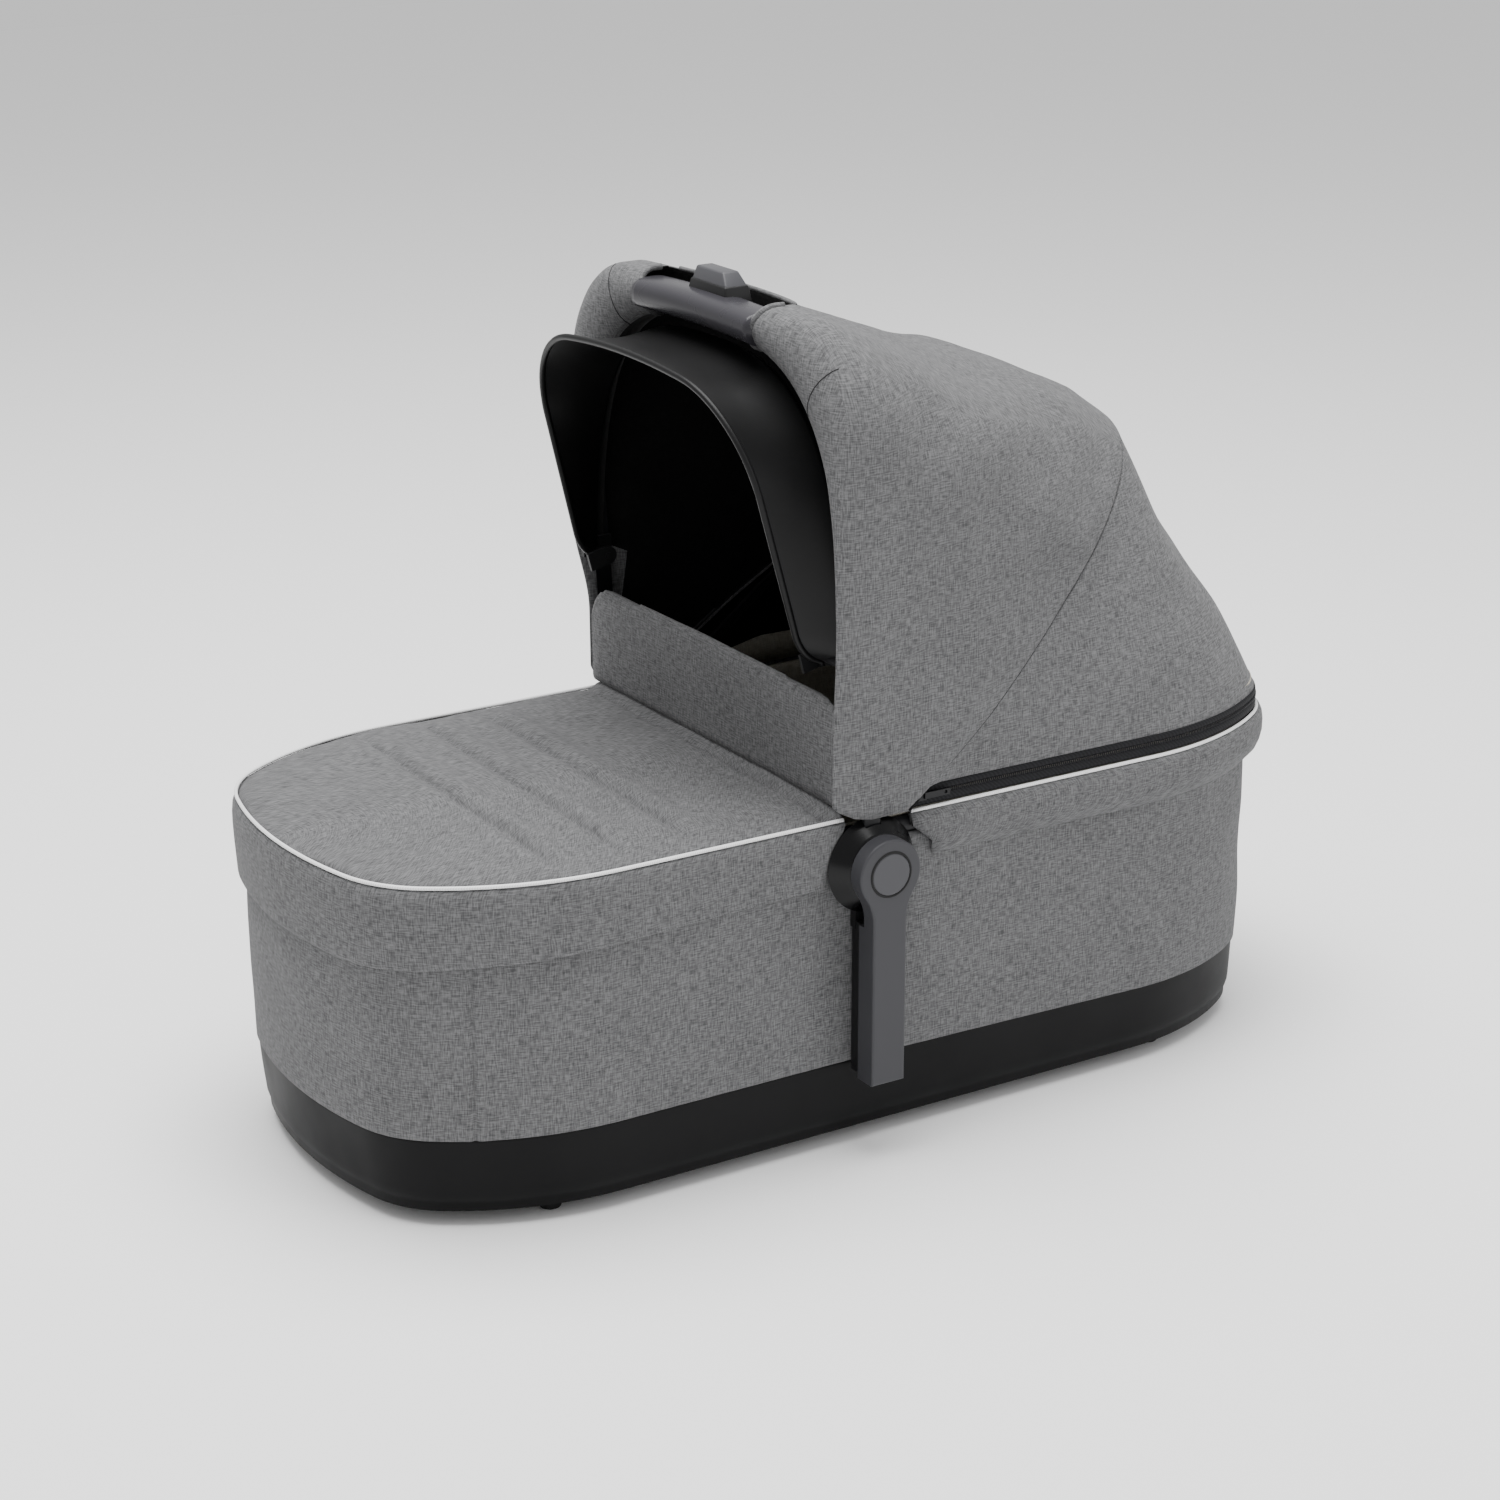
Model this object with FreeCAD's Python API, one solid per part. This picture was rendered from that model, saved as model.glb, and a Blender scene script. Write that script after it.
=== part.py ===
import FreeCAD, Part
import math
import os
from FreeCAD import Vector

os.makedirs("parts", exist_ok=True)

# A pram carrycot with a folding hood. Millimetres, +Z up, +X towards the head end, +Y is left.
# The origin is on the floor under the middle of the cot's box.

# Driving sizes
LENGTH = 852.0           # over the fabric rim
HALF_WIDTH = 187.0       # centre plane to the piping line
FOOT_HEIGHT = 10.0
TRAY_TOP = 72.0          # upper edge of the moulded tray
WALL_TOP = 249.0         # upper edge of the fabric walls, under the rim tube
RIM_Z = 255.5            # centre line of the rim tube
RIM_RADIUS = 6.0
BAND_TOP = 266.3
HOOD_TOP = 640.0         # over the fabric at the front bow
HUB_X, HUB_Z = -26.0, 234.0
CREASE_X = -48.0         # where the wind flap leaves the apron

# Plan outlines: foot tip, head tip and half width
PIPING = (-LENGTH / 2 + 5, LENGTH / 2 - 5, HALF_WIDTH)
RIM = (-LENGTH / 2, LENGTH / 2, HALF_WIDTH + 5)
WALL = (-417.0, 407.0, HALF_WIDTH - 2)
TUBE_LINE = (-414.0, 412.0, HALF_WIDTH - 5)
TRAY_UPPER = (-418.0, 408.0, HALF_WIDTH)
TRAY_LOWER = (-406.0, 395.0, HALF_WIDTH - 5)
MATTRESS = (-392.0, 381.0, 168.0)

# Each end is three tangent arcs: off the straight side, round the corner, across the tip
FOOT_ARCS = (240.0, 90.0, 380.0)
HEAD_ARCS = (240.0, 80.0, 600.0)
SIDE_TURN = math.radians(34)

# Hub stack, measured outwards from the centre plane
AXLE_RADIUS = 6.0
RUNNING_FIT = 0.05
MID_BOW_Y = (168.0, 172.0)
BOW_LEG_Y = 193.4
DOME_Y = (192.8, 206.2)
ARM_Y = (206.5, 220.0)
ARM_BOTTOM = 64.0
ARM_HALF_WIDTH = 14.8
HEAD_RADIUS = 27.0
BUTTON_RADIUS = 16.6

# Hood
BOW_TILT = math.degrees(math.atan(24.0 / 394.0))     # front bow leans to the foot
MID_TILT = 51.4                                      # middle bow leans to the head
SLEEVE_X = (-62.0, -36.0)
VISOR_PIVOT = Vector(-50, 0, 392)
VISOR_TILT = 14.6


def box(x, y, z):
    """A block from three (low, high) pairs."""
    return Part.makeBox(x[1] - x[0], y[1] - y[0], z[1] - z[0], Vector(x[0], y[0], z[0]))


def rod(radius, start, end):
    return Part.makeCylinder(radius, (end - start).Length, start, end - start)


def cross_rod(radius, x, z, y):
    """A cylinder along +Y between two distances from the centre plane."""
    return rod(radius, Vector(x, y[0], z), Vector(x, y[1], z))


def turn(shape, centre, degrees):
    """A copy leaned about a cross axis; positive leans the top towards the head."""
    copy = shape.copy()
    copy.rotate(centre, Vector(0, 1, 0), degrees)
    return copy


def save(node, shape):
    shape.exportStep("parts/" + node + ".step")


def save_pair(name, left):
    """The left solid, and its mirror image on the right."""
    save(name + "_left", left)
    save(name + "_right", left.mirror(Vector(0, 0, 0), Vector(0, 1, 0)))


# ---- plan outlines ----

def end_edges(tip, half_width, z, arcs):
    """Five arcs round one end, from the left side to the right side."""
    side = math.copysign(1, tip)
    big, corner, end = (radius + half_width - HALF_WIDTH for radius in arcs)
    big_y = half_width - big
    corner_x = (big - corner) * math.sin(SIDE_TURN)
    corner_y = big_y + (big - corner) * math.cos(SIDE_TURN)
    end_turn = math.acos(corner_y / (end - corner))
    end_x = corner_x - (end - corner) * math.sin(end_turn)
    start = abs(tip) - end_x - end

    def at(centre_x, centre_y, radius, angle):
        return Vector(side * (start + centre_x + radius * math.sin(angle)),
                      centre_y + radius * math.cos(angle), z)

    def arc(centre_x, centre_y, radius, low, high):
        return [at(centre_x, centre_y, radius, a) for a in (low, (low + high) / 2, high)]

    left = [arc(0, big_y, big, 0, SIDE_TURN), arc(corner_x, corner_y, corner, SIDE_TURN, end_turn)]
    tip_arc = [left[1][2], Vector(tip, 0, z), mirrored(left[1][2])]
    right = [[mirrored(p) for p in reversed(points)] for points in reversed(left)]
    return [Part.Arc(*points).toShape() for points in left + [tip_arc] + right]


def mirrored(point):
    return Vector(point.x, -point.y, point.z)


def ends_of(edge):
    return edge.valueAt(edge.FirstParameter), edge.valueAt(edge.LastParameter)


def plan_wire(plan, z, inset=0.0):
    foot = end_edges(plan[0] + inset, plan[2] - inset, z, FOOT_ARCS)
    head = end_edges(plan[1] - inset, plan[2] - inset, z, HEAD_ARCS)
    right = Part.makeLine(ends_of(foot[-1])[1], ends_of(head[-1])[1])
    left = Part.makeLine(ends_of(head[0])[0], ends_of(foot[0])[0])
    return Part.Wire(Part.__sortEdges__(foot + [right] + head + [left]))


def slab(plan, z, inset=0.0):
    return Part.Face(plan_wire(plan, z[0], inset)).extrude(Vector(0, 0, z[1] - z[0]))


def ring(plan, z, inset, thickness):
    return slab(plan, z, inset).cut(slab(plan, (z[0] - 1, z[1] + 1), inset + thickness))


def tapered(low_plan, low_z, high_plan, high_z, inset=0.0):
    wires = [plan_wire(low_plan, low_z, inset), plan_wire(high_plan, high_z, inset)]
    return Part.makeLoft(wires, True, True)


def half_tube(plan, side, stop, z, radius):
    """A tube that runs round one end of the cot, from x = stop to x = stop."""
    tip, arcs = (plan[0], FOOT_ARCS) if side < 0 else (plan[1], HEAD_ARCS)
    edges = end_edges(tip, plan[2], z, arcs)
    first, last = ends_of(edges[0])[0], ends_of(edges[-1])[1]
    start = Vector(stop, plan[2], z)
    path = [Part.makeLine(start, first)] + edges + [Part.makeLine(last, mirrored(start))]
    section = Part.Wire(Part.makeCircle(radius, start, Vector(1, 0, 0)))
    return Part.Wire(path).makePipeShell([section], True, True)


def head_part(x):
    """Everything on the head side of x, as a block to keep."""
    return box((x, 500), (-300, 300), (-10, 700))


def foot_part(x):
    return box((-500, x), (-300, 300), (-10, 700))


# ---- hood outlines, drawn in the YZ plane ----

def hoop_edges(x, base_y, base_z, centre_y, corner, top, crown=2500.0):
    """An arch: two straight legs, two round corners and a slightly crowned top."""
    crown_z = top - crown
    centre_z = crown_z + math.sqrt((crown - corner) ** 2 - centre_y ** 2)
    dy, dz = base_y - centre_y, base_z - centre_z
    lean = math.atan2(-dz, dy) - math.acos(corner / math.hypot(dy, dz))
    corner_end = math.atan2(centre_z - crown_z, centre_y)

    def at(angle):
        return Vector(x, centre_y + corner * math.cos(angle), centre_z + corner * math.sin(angle))

    base = Vector(x, base_y, base_z)
    low, high = at(-lean), at(corner_end)
    middle = at((corner_end - lean) / 2)
    top_point = Vector(x, 0, top)
    return [Part.makeLine(base, low), Part.Arc(low, middle, high).toShape(),
            Part.Arc(high, top_point, mirrored(high)).toShape(),
            Part.Arc(mirrored(high), mirrored(middle), mirrored(low)).toShape(),
            Part.makeLine(mirrored(low), mirrored(base))]


def closed_arch(edges):
    """Joins the two feet of an arch with a straight line."""
    first, last = ends_of(edges[0])[0], ends_of(edges[-1])[1]
    return Part.Wire(edges + [Part.makeLine(last, first)])


def arch_slab(edges, x_thickness):
    return Part.Face(closed_arch(edges)).extrude(Vector(x_thickness, 0, 0))


def squarish(x, half_width, base_z, rise, power, leg_z, steps=9):
    """A superellipse arch on two straight legs, as one smooth curve."""
    points = []
    for step in range(-steps, steps + 1):
        angle = math.pi / 2 * step / steps
        across = math.copysign(abs(math.sin(angle)) ** (2 / power), step) * half_width
        points.append(Vector(x, -across, base_z + rise * math.cos(angle) ** (2 / power)))
    curve = Part.BSplineCurve()
    curve.interpolate(points)
    low = [Vector(x, p.y, leg_z) for p in (points[0], points[-1])]
    return [Part.makeLine(low[0], points[0]), curve.toShape(), Part.makeLine(points[-1], low[1])]


# ---- tray, feet and walls ----

def make_tray():
    floor, wall, ledge = 2.5, 2.5, 4.0
    outer = tapered(TRAY_LOWER, FOOT_HEIGHT, TRAY_UPPER, TRAY_TOP)
    bottom = [e for e in outer.Edges if e.BoundBox.ZMax < FOOT_HEIGHT + 0.01]
    outer = outer.makeFillet(9.0, bottom)
    hollow = tapered(TRAY_LOWER, FOOT_HEIGHT + floor, TRAY_UPPER, TRAY_TOP - ledge, wall)
    mouth = slab(WALL, (TRAY_TOP - ledge - 1, TRAY_TOP + 1), 7.5)
    tray = outer.cut(hollow).cut(mouth)
    for x, y in foot_places():
        tray = tray.cut(rod(1.8, Vector(x, y, 0), Vector(x, y, 20)))
    save("base_tray", tray)
    save("base_board", slab(TRAY_LOWER, (FOOT_HEIGHT + floor + 0.2, 15.7), 9.5))


def foot_places():
    return [(x, y) for x in (-281, 281) for y in (-150, 150)]


def make_feet():
    feet, screws = [], []
    for x, y in foot_places():
        foot = rod(8.5, Vector(x, y, 0), Vector(x, y, FOOT_HEIGHT))
        foot = foot.makeFillet(2.0, [e for e in foot.Edges if e.BoundBox.ZMax < 0.01])
        screw = rod(1.8, Vector(x, y, 4), Vector(x, y, 12.4)).fuse(
            rod(3.4, Vector(x, y, 2.5), Vector(x, y, 4.2)))
        shank_hole = rod(1.8, Vector(x, y, 3), Vector(x, y, FOOT_HEIGHT + 1))
        head_hole = rod(3.4, Vector(x, y, -1), Vector(x, y, 4.2))
        feet.append(foot.cut(shank_hole).cut(head_hole))
        screws.append(screw)
    save("rubber_feet", Part.makeCompound(feet))
    save("foot_screws", Part.makeCompound(screws))


def axle_hole():
    return cross_rod(AXLE_RADIUS + 0.3, HUB_X, HUB_Z, (-230, 230))


def make_walls():
    hole = axle_hole()
    skin_z = (TRAY_TOP + 0.2, WALL_TOP)
    save("outer_fabric_wall", ring(WALL, skin_z, 0, 2.0).cut(hole))
    stiffener = ring(WALL, skin_z, 2.2, 4.5).cut(hole)
    foot_end, head_end = -230.0, 232.0
    save("foot_stiffener", stiffener.common(foot_part(foot_end)))
    save("head_stiffener", stiffener.common(head_part(head_end)))
    middle = stiffener.common(box((foot_end + 0.5, head_end - 0.5), (0, 300), (0, 300)))
    save_pair("side_stiffener", middle)
    save("inner_liner", liner_block(16.0, 0).cut(liner_block(17.2, 1.2, 10)).cut(hole))


def liner_block(floor, inset, rise=0.0):
    """The space inside the lining: it narrows with the tray, then runs straight up."""
    knee = TRAY_TOP - 6
    low = (MATTRESS[0] - 6, MATTRESS[1] + 6, MATTRESS[2] + 5)
    high = (WALL[0] + 7.7, WALL[1] - 7.7, WALL[2] - 7.7)
    return tapered(low, floor, high, knee, inset).fuse(
        slab(high, (knee, WALL_TOP + rise), inset)).removeSplitter()


def make_mattress():
    core = slab(MATTRESS, (19.6, 58.0), 2.0)
    cover = slab(MATTRESS, (17.6, 60.0)).cut(slab(MATTRESS, (19.5, 58.1), 1.9))
    save("mattress_foam", core)
    save("mattress_cover", cover)


# ---- rim, apron and zip ----

def make_rim():
    joiner_x = (-52.0, 0.0)
    depth = 15.0
    sides = (("foot", -1, joiner_x[0] + depth), ("head", 1, joiner_x[1] - depth))
    for name, side, stop in sides:
        tube = half_tube(TUBE_LINE, side, stop, RIM_Z, RIM_RADIUS)
        save("rim_tube_" + name, tube.cut(half_tube(TUBE_LINE, side, stop, RIM_Z, RIM_RADIUS - 1.5)))
    joiner = box(joiner_x, (TUBE_LINE[2] - 6.5, TUBE_LINE[2] + 6.5), (WALL_TOP + 0.3, 262.0))
    for stop, way in ((joiner_x[0], depth), (joiner_x[1], -depth)):
        start = Vector(stop, TUBE_LINE[2], RIM_Z)
        joiner = joiner.cut(rod(RIM_RADIUS, start, start + Vector(way, 0, 0)))
    save_pair("rim_joiner", joiner)


def make_head_band():
    drop = (229.0, BAND_TOP)
    low = (RIM[0], RIM[1] - 12, RIM[2] - 2)
    hollow = tapered(low, drop[0], RIM, drop[1], 3.0)
    keep = head_part(32.0).fuse(box((12, 40), (-300, 300), (drop[0] + 22, 300)))
    save("head_rim_band", tapered(low, drop[0], RIM, drop[1]).cut(hollow).common(keep))
    save("head_piping", half_tube(PIPING, 1, 12.0, BAND_TOP + 2.2, 2.0))


def make_apron():
    skirt = ring(RIM, (209.0, 268.8), 0, 2.5)
    slope = Part.makePolygon([Vector(-500, -300, 200), Vector(-78, -300, 200), Vector(-70, -300, 225),
                              Vector(-56, -300, 269), Vector(-56, -300, 280),
                              Vector(-500, -300, 280), Vector(-500, -300, 200)])
    keep = Part.Face(slope).extrude(Vector(0, 600, 0))
    save("apron_skirt", skirt.common(keep))
    save("apron_piping", half_tube(PIPING, -1, -56.0, 271.0, 2.0))
    top = slab(PIPING, (262.3, 276.0), 2.3).common(foot_part(CREASE_X + 4))
    rim = [e for e in top.Edges if e.BoundBox.ZMin > 275.9]
    save("apron_top", top.makeFillet(4.0, rim))


def make_wind_flap():
    height, corner = 88.0, 35.0
    low, high = 276.6, 276.6 + height - 4.6
    flap = box((CREASE_X - 4, CREASE_X + 4), (-191, 191), (low, high))
    upper = [e for e in flap.Edges
             if e.BoundBox.ZMin > high - 0.1 and e.BoundBox.YLength < 0.1]
    save("wind_flap", flap.makeFillet(corner, upper))


def make_zip():
    start = 14.0
    tape = {"zip_tape_lower": (271.0, 275.6), "zip_chain": (275.8, 278.4),
            "zip_tape_upper": (278.6, 284.0)}
    for node, z in tape.items():
        save(node, ring(PIPING, z, 0.6, 1.4).common(head_part(start)))
    y = HALF_WIDTH - 0.4
    body = box((16, 27), (y, y + 2.6), (272.8, 281.4))
    body = body.makeFillet(1.1, [e for e in body.Edges if e.BoundBox.YMin > y + 2.5])
    pull = box((24, 47), (y + 2.8, y + 4.2), (274.6, 279.6))
    pull = pull.cut(cross_rod(1.4, 43, 277.1, (y, y + 6)))
    bridge = box((24.5, 26), (y + 1.5, y + 3.4), (275.6, 278.6))
    save_pair("zip_slider", body.fuse(bridge).fuse(pull).removeSplitter())


# ---- arms and hubs ----

def arm_outline(y, top_radius, half_width, bottom, neck=40.0):
    """Keyhole shape: round head, hollow neck and straight strap."""
    reach = half_width + neck
    drop = math.sqrt((top_radius + neck) ** 2 - reach ** 2)
    share = top_radius / (top_radius + neck)
    start = math.atan2(drop, -reach)
    end = math.pi

    def place(x, z):
        return Vector(HUB_X + x, y, HUB_Z + z)

    def neck_point(angle):
        return reach + neck * math.cos(angle), -drop + neck * math.sin(angle)

    meet = (reach * share, -drop * share)
    middle = neck_point((start + end) / 2)
    floor = bottom - HUB_Z
    sides = []
    for s in (1, -1):
        sides.append([Part.makeLine(place(s * half_width, floor), place(s * half_width, -drop)),
                      Part.Arc(place(s * half_width, -drop), place(s * middle[0], middle[1]),
                               place(s * meet[0], meet[1])).toShape()])
    crown = Part.Arc(place(*meet), place(0, top_radius), place(-meet[0], meet[1])).toShape()
    base = Part.makeLine(place(half_width, floor), place(-half_width, floor))
    return Part.Face(Part.Wire(Part.__sortEdges__(sides[0] + sides[1] + [crown, base])))


def make_arm():
    shell_y, rail_y, step_z = 200.0, (187.4, 199.7), 190.0
    face = arm_outline(ARM_Y[0], HEAD_RADIUS, ARM_HALF_WIDTH, ARM_BOTTOM)
    plate = face.extrude(Vector(0, ARM_Y[1] - ARM_Y[0], 0))
    plate = plate.makeFillet(2.0, [e for e in plate.Edges if e.BoundBox.YMin > ARM_Y[1] - 0.01])
    strap_x = (HUB_X - ARM_HALF_WIDTH, HUB_X + ARM_HALF_WIDTH)
    strap = box(strap_x, (shell_y, ARM_Y[0] + 3), (ARM_BOTTOM, step_z))
    socket = box((HUB_X - 11, HUB_X + 11), (203.5, 216.0), (ARM_BOTTOM - 1, step_z - 12))
    pocket = cross_rod(BUTTON_RADIUS + 0.6, HUB_X, HUB_Z, (210.0, 230.0))
    spigot = cross_rod(4.0, HUB_X, HUB_Z, (200.0, 209.0))
    screws = []
    arm = plate.fuse(strap).removeSplitter().cut(socket).cut(pocket).cut(spigot)
    rail = box((HUB_X - 12.5, HUB_X + 12.5), rail_y, (ARM_BOTTOM + 3, step_z))
    bracket = box((HUB_X - 13, HUB_X + 13), (185.3, 192.3), (step_z - 6, WALL_TOP - 2))
    bracket = bracket.makeFillet(6.0, [e for e in bracket.Edges if e.BoundBox.YLength > 6.9
                                       and e.BoundBox.ZMin > WALL_TOP - 3])
    rail = rail.fuse(bracket).removeSplitter().cut(axle_hole())
    for z in (100.0, 160.0):
        shank = cross_rod(2.0, HUB_X, z, (190.0, 203.5))
        head = cross_rod(3.6, HUB_X, z, (187.4, 190.0))
        screw = shank.fuse(head)
        screws.append(screw)
        arm, rail = arm.cut(screw), rail.cut(screw)
    save_pair("arm_shell", arm)
    save_pair("arm_rail", rail)
    save_pair("arm_screws", Part.makeCompound(screws))


def make_axle():
    axle = cross_rod(AXLE_RADIUS, HUB_X, HUB_Z, (164.0, ARM_Y[0] - 0.2))
    flange = cross_rod(9.0, HUB_X, HUB_Z, (164.0, MID_BOW_Y[0] - 0.3))
    shoulder = cross_rod(9.0, HUB_X, HUB_Z, (MID_BOW_Y[1] + 0.3, 175.8))
    spigot = cross_rod(4.0, HUB_X, HUB_Z, (200.0, 209.0))
    save_pair("hood_axle", axle.fuse([flange, shoulder, spigot]).removeSplitter())


def make_release_buttons():
    cap = cross_rod(BUTTON_RADIUS, HUB_X, HUB_Z, (213.6, 220.6))
    outer = [e for e in cap.Edges if e.BoundBox.YMin > 220.5]
    save_pair("release_button", cap.makeFillet(1.2, outer))
    spring = cross_rod(7.0, HUB_X, HUB_Z, (210.1, 213.4)).cut(
        cross_rod(5.8, HUB_X, HUB_Z, (209.0, 215.0)))
    save_pair("release_spring", spring)


# ---- hood ----

def make_front_bow():
    """A flat bar hoop; its legs end in round eyes on the hub axles."""
    hub = Vector(HUB_X, 0, HUB_Z)
    x, width = HUB_X - 7, 14.0
    outer = arch_slab(hoop_edges(x, 198.4, HUB_Z, 138, 66, 634), width)
    inner = arch_slab(hoop_edges(x, BOW_LEG_Y, HUB_Z, 138, 54, 621), width)
    bore = cross_rod(AXLE_RADIUS + RUNNING_FIT, HUB_X, HUB_Z, (-230, 230))
    eyes = [cross_rod(14.0, HUB_X, HUB_Z, y) for y in ((BOW_LEG_Y, 198.4), (-198.4, -BOW_LEG_Y))]
    bow = turn(outer.cut(inner).fuse(eyes).removeSplitter().cut(bore), hub, -BOW_TILT)
    save("front_bow", bow)
    length = DOME_Y[1] - DOME_Y[0]
    dome = Part.makeCone(38.0, HEAD_RADIUS - 0.5, length, Vector(HUB_X, DOME_Y[0], HUB_Z), Vector(0, 1, 0))
    dome = dome.makeFillet(5.0, [e for e in dome.Edges if e.BoundBox.YMin > DOME_Y[1] - 0.01])
    save_pair("bow_hub", dome.cut(bore).cut(bow))
    return bow


def sleeve_inner(x):
    return squarish(x, BOW_LEG_Y - 0.4, 330, 281, 3.1, 285)


def sleeve_outer(x, grow=0.0):
    return hoop_edges(x, 198.9 + grow, 285, 135 + grow, 74, HOOD_TOP + grow)


def make_sleeves(bow):
    """Padded fabric edge of the hood, left and right of the grip."""
    x, width = SLEEVE_X[0], SLEEVE_X[1] - SLEEVE_X[0]
    body = arch_slab(sleeve_outer(x), width).cut(arch_slab(sleeve_inner(x - 1), width + 2))
    half = body.cut(bow).cut(visor_bracket()).common(box((-200, 200), (80, 300), (290, 700)))
    save_pair("hood_sleeve", half)


def make_grip(bow):
    x, y = (-68.0, -30.0), 79.5
    grip = box(x, (-y, y), (611.6, 637.0))
    grip = grip.makeFillet(10.0, [e for e in grip.Edges if e.BoundBox.YLength > 100])
    saddle_low, saddle_top = 632.0, 643.0
    saddle = Part.makeLoft([Part.makePolygon([Vector(a, b, z) for a, b in (
        (-52 + s, -42 + s), (-25 - s, -42 + s), (-25 - s, 36 - s), (-52 + s, 36 - s), (-52 + s, -42 + s))])
        for z, s in ((saddle_low, 0), (saddle_top, 1.5))], True, True)
    pocket = box((-48.6, -28.4), (-31.6, 32.6), (638.6, 650))
    upper = grip.common(box((-100, 0), (-100, 100), (624.2, 700))).fuse(saddle).removeSplitter()
    save("handle_grip_upper", upper.cut(pocket).cut(bow))
    save("handle_grip_lower", grip.common(box((-100, 0), (-100, 100), (600, 623.9))).cut(bow))
    foot = [Vector(a, b, 643.2) for a, b in (
        (-48, -31), (-29, -31), (-29, 32), (-48, 32), (-48, -31))]
    top = [Vector(a, b, 652.0) for a, b in (
        (-45.5, -24), (-31.5, -24), (-31.5, 30), (-45.5, 30), (-45.5, -24))]
    cap = Part.makeLoft([Part.makePolygon(foot), Part.makePolygon(top)], True, True)
    cap = cap.makeFillet(1.5, [e for e in cap.Edges if e.BoundBox.ZMin > 651.9])
    save("handle_button", cap)
    spring = rod(4.0, Vector(-38.5, 0, 638.7), Vector(-38.5, 0, 643.1)).cut(
        rod(3.2, Vector(-38.5, 0, 638), Vector(-38.5, 0, 645)))
    save("handle_spring", spring)


def make_mid_bow():
    """A flat bar: straight legs beside the lining, then half an ellipse over the head."""
    hub = Vector(HUB_X, 0, HUB_Z)
    depth, leg, rise = 8.0, 150.0, 274.0
    x = HUB_X - depth / 2

    def arch(half_width, height):
        points = [Vector(x, half_width, HUB_Z + leg), Vector(x, 0, HUB_Z + leg + height)]
        major, minor = points[1], points[0]
        centre = Vector(x, 0, HUB_Z + leg)
        curve = Part.ArcOfEllipse(Part.Ellipse(major, minor, centre), -math.pi / 2, math.pi / 2)
        edge = curve.toShape()
        ends = ends_of(edge)
        low = [Vector(x, p.y, HUB_Z) for p in ends]
        edges = [Part.makeLine(low[0], ends[0]), edge, Part.makeLine(ends[1], low[1])]
        return arch_slab(edges, depth)

    bar = arch(MID_BOW_Y[1], rise + 3).cut(arch(MID_BOW_Y[0], rise - 3))
    eyes = [cross_rod(12.0, HUB_X, HUB_Z, y) for y in (MID_BOW_Y, (-MID_BOW_Y[1], -MID_BOW_Y[0]))]
    bore = cross_rod(AXLE_RADIUS + RUNNING_FIT, HUB_X, HUB_Z, (-230, 230))
    save("mid_bow", turn(bar.fuse(eyes).removeSplitter().cut(bore), hub, MID_TILT))


def seam_arch(inset, tilt, reach, half_width, power):
    """One rib line of the hood, in a plane that leans by tilt about a line above the hub."""
    base = Vector(-20, 0, 250)
    rib = Part.Wire(squarish(-20, half_width - inset, 250 + 60, reach - 60 - inset, power, 250 + 24))
    first, last = rib.Vertexes[0].Point, rib.Vertexes[-1].Point
    closed = Part.Wire(Part.__sortEdges__(rib.Edges + [Part.makeLine(last, first)]))
    return turn(closed, base, tilt)


def make_hood_panels(bow):
    """Front panel from the sleeve to the seam, rear panel from the seam to the head rim."""
    def front(inset, grow):
        first = closed_arch(squarish(SLEEVE_X[1] + 1.2 - grow, 201 - inset, 400, 237 - inset, 2.9, 287 - grow))
        return Part.makeLoft([first, seam_arch(inset, 50.5 + grow, 415, 187, 2.2)], True, True)

    slot = Part.Face(Part.Wire(Part.Ellipse(Vector(-28, 90, 590), Vector(-10, 0, 590),
                                            Vector(-28, 0, 590)).toShape()))
    panel = front(0, 0).cut(front(2.0, 0.4)).cut(slot.extrude(Vector(0, 0, 100))).cut(bow)
    panel = panel.common(box((-100, 500), (-300, 300), (286, 700)))
    save("hood_front_panel", max(panel.Solids, key=lambda solid: solid.Volume))

    def rear(inset, grow):
        ribs = [seam_arch(inset, tilt, reach, 187, power) for tilt, reach, power in (
            (53.5 - grow, 415, 2.2), (70.0, 430, 2.5), (87.0 + grow, 438, 3.2))]
        return Part.makeLoft(ribs, True, True)

    save("hood_rear_panel", rear(0, 0).cut(rear(2.0, 0.4)).common(
        box((-100, 500), (-300, 300), (285, 700))))


def visor_bracket():
    """The lug on the front bow and the pin that the visor's hoop turns on."""
    pin = cross_rod(3.0, VISOR_PIVOT.x, VISOR_PIVOT.z, (157.0, 190.0))
    lug = box((-56, -30), (188.0, 192.6), (VISOR_PIVOT.z - 8, VISOR_PIVOT.z + 8))
    return pin.fuse(lug).removeSplitter()


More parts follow.
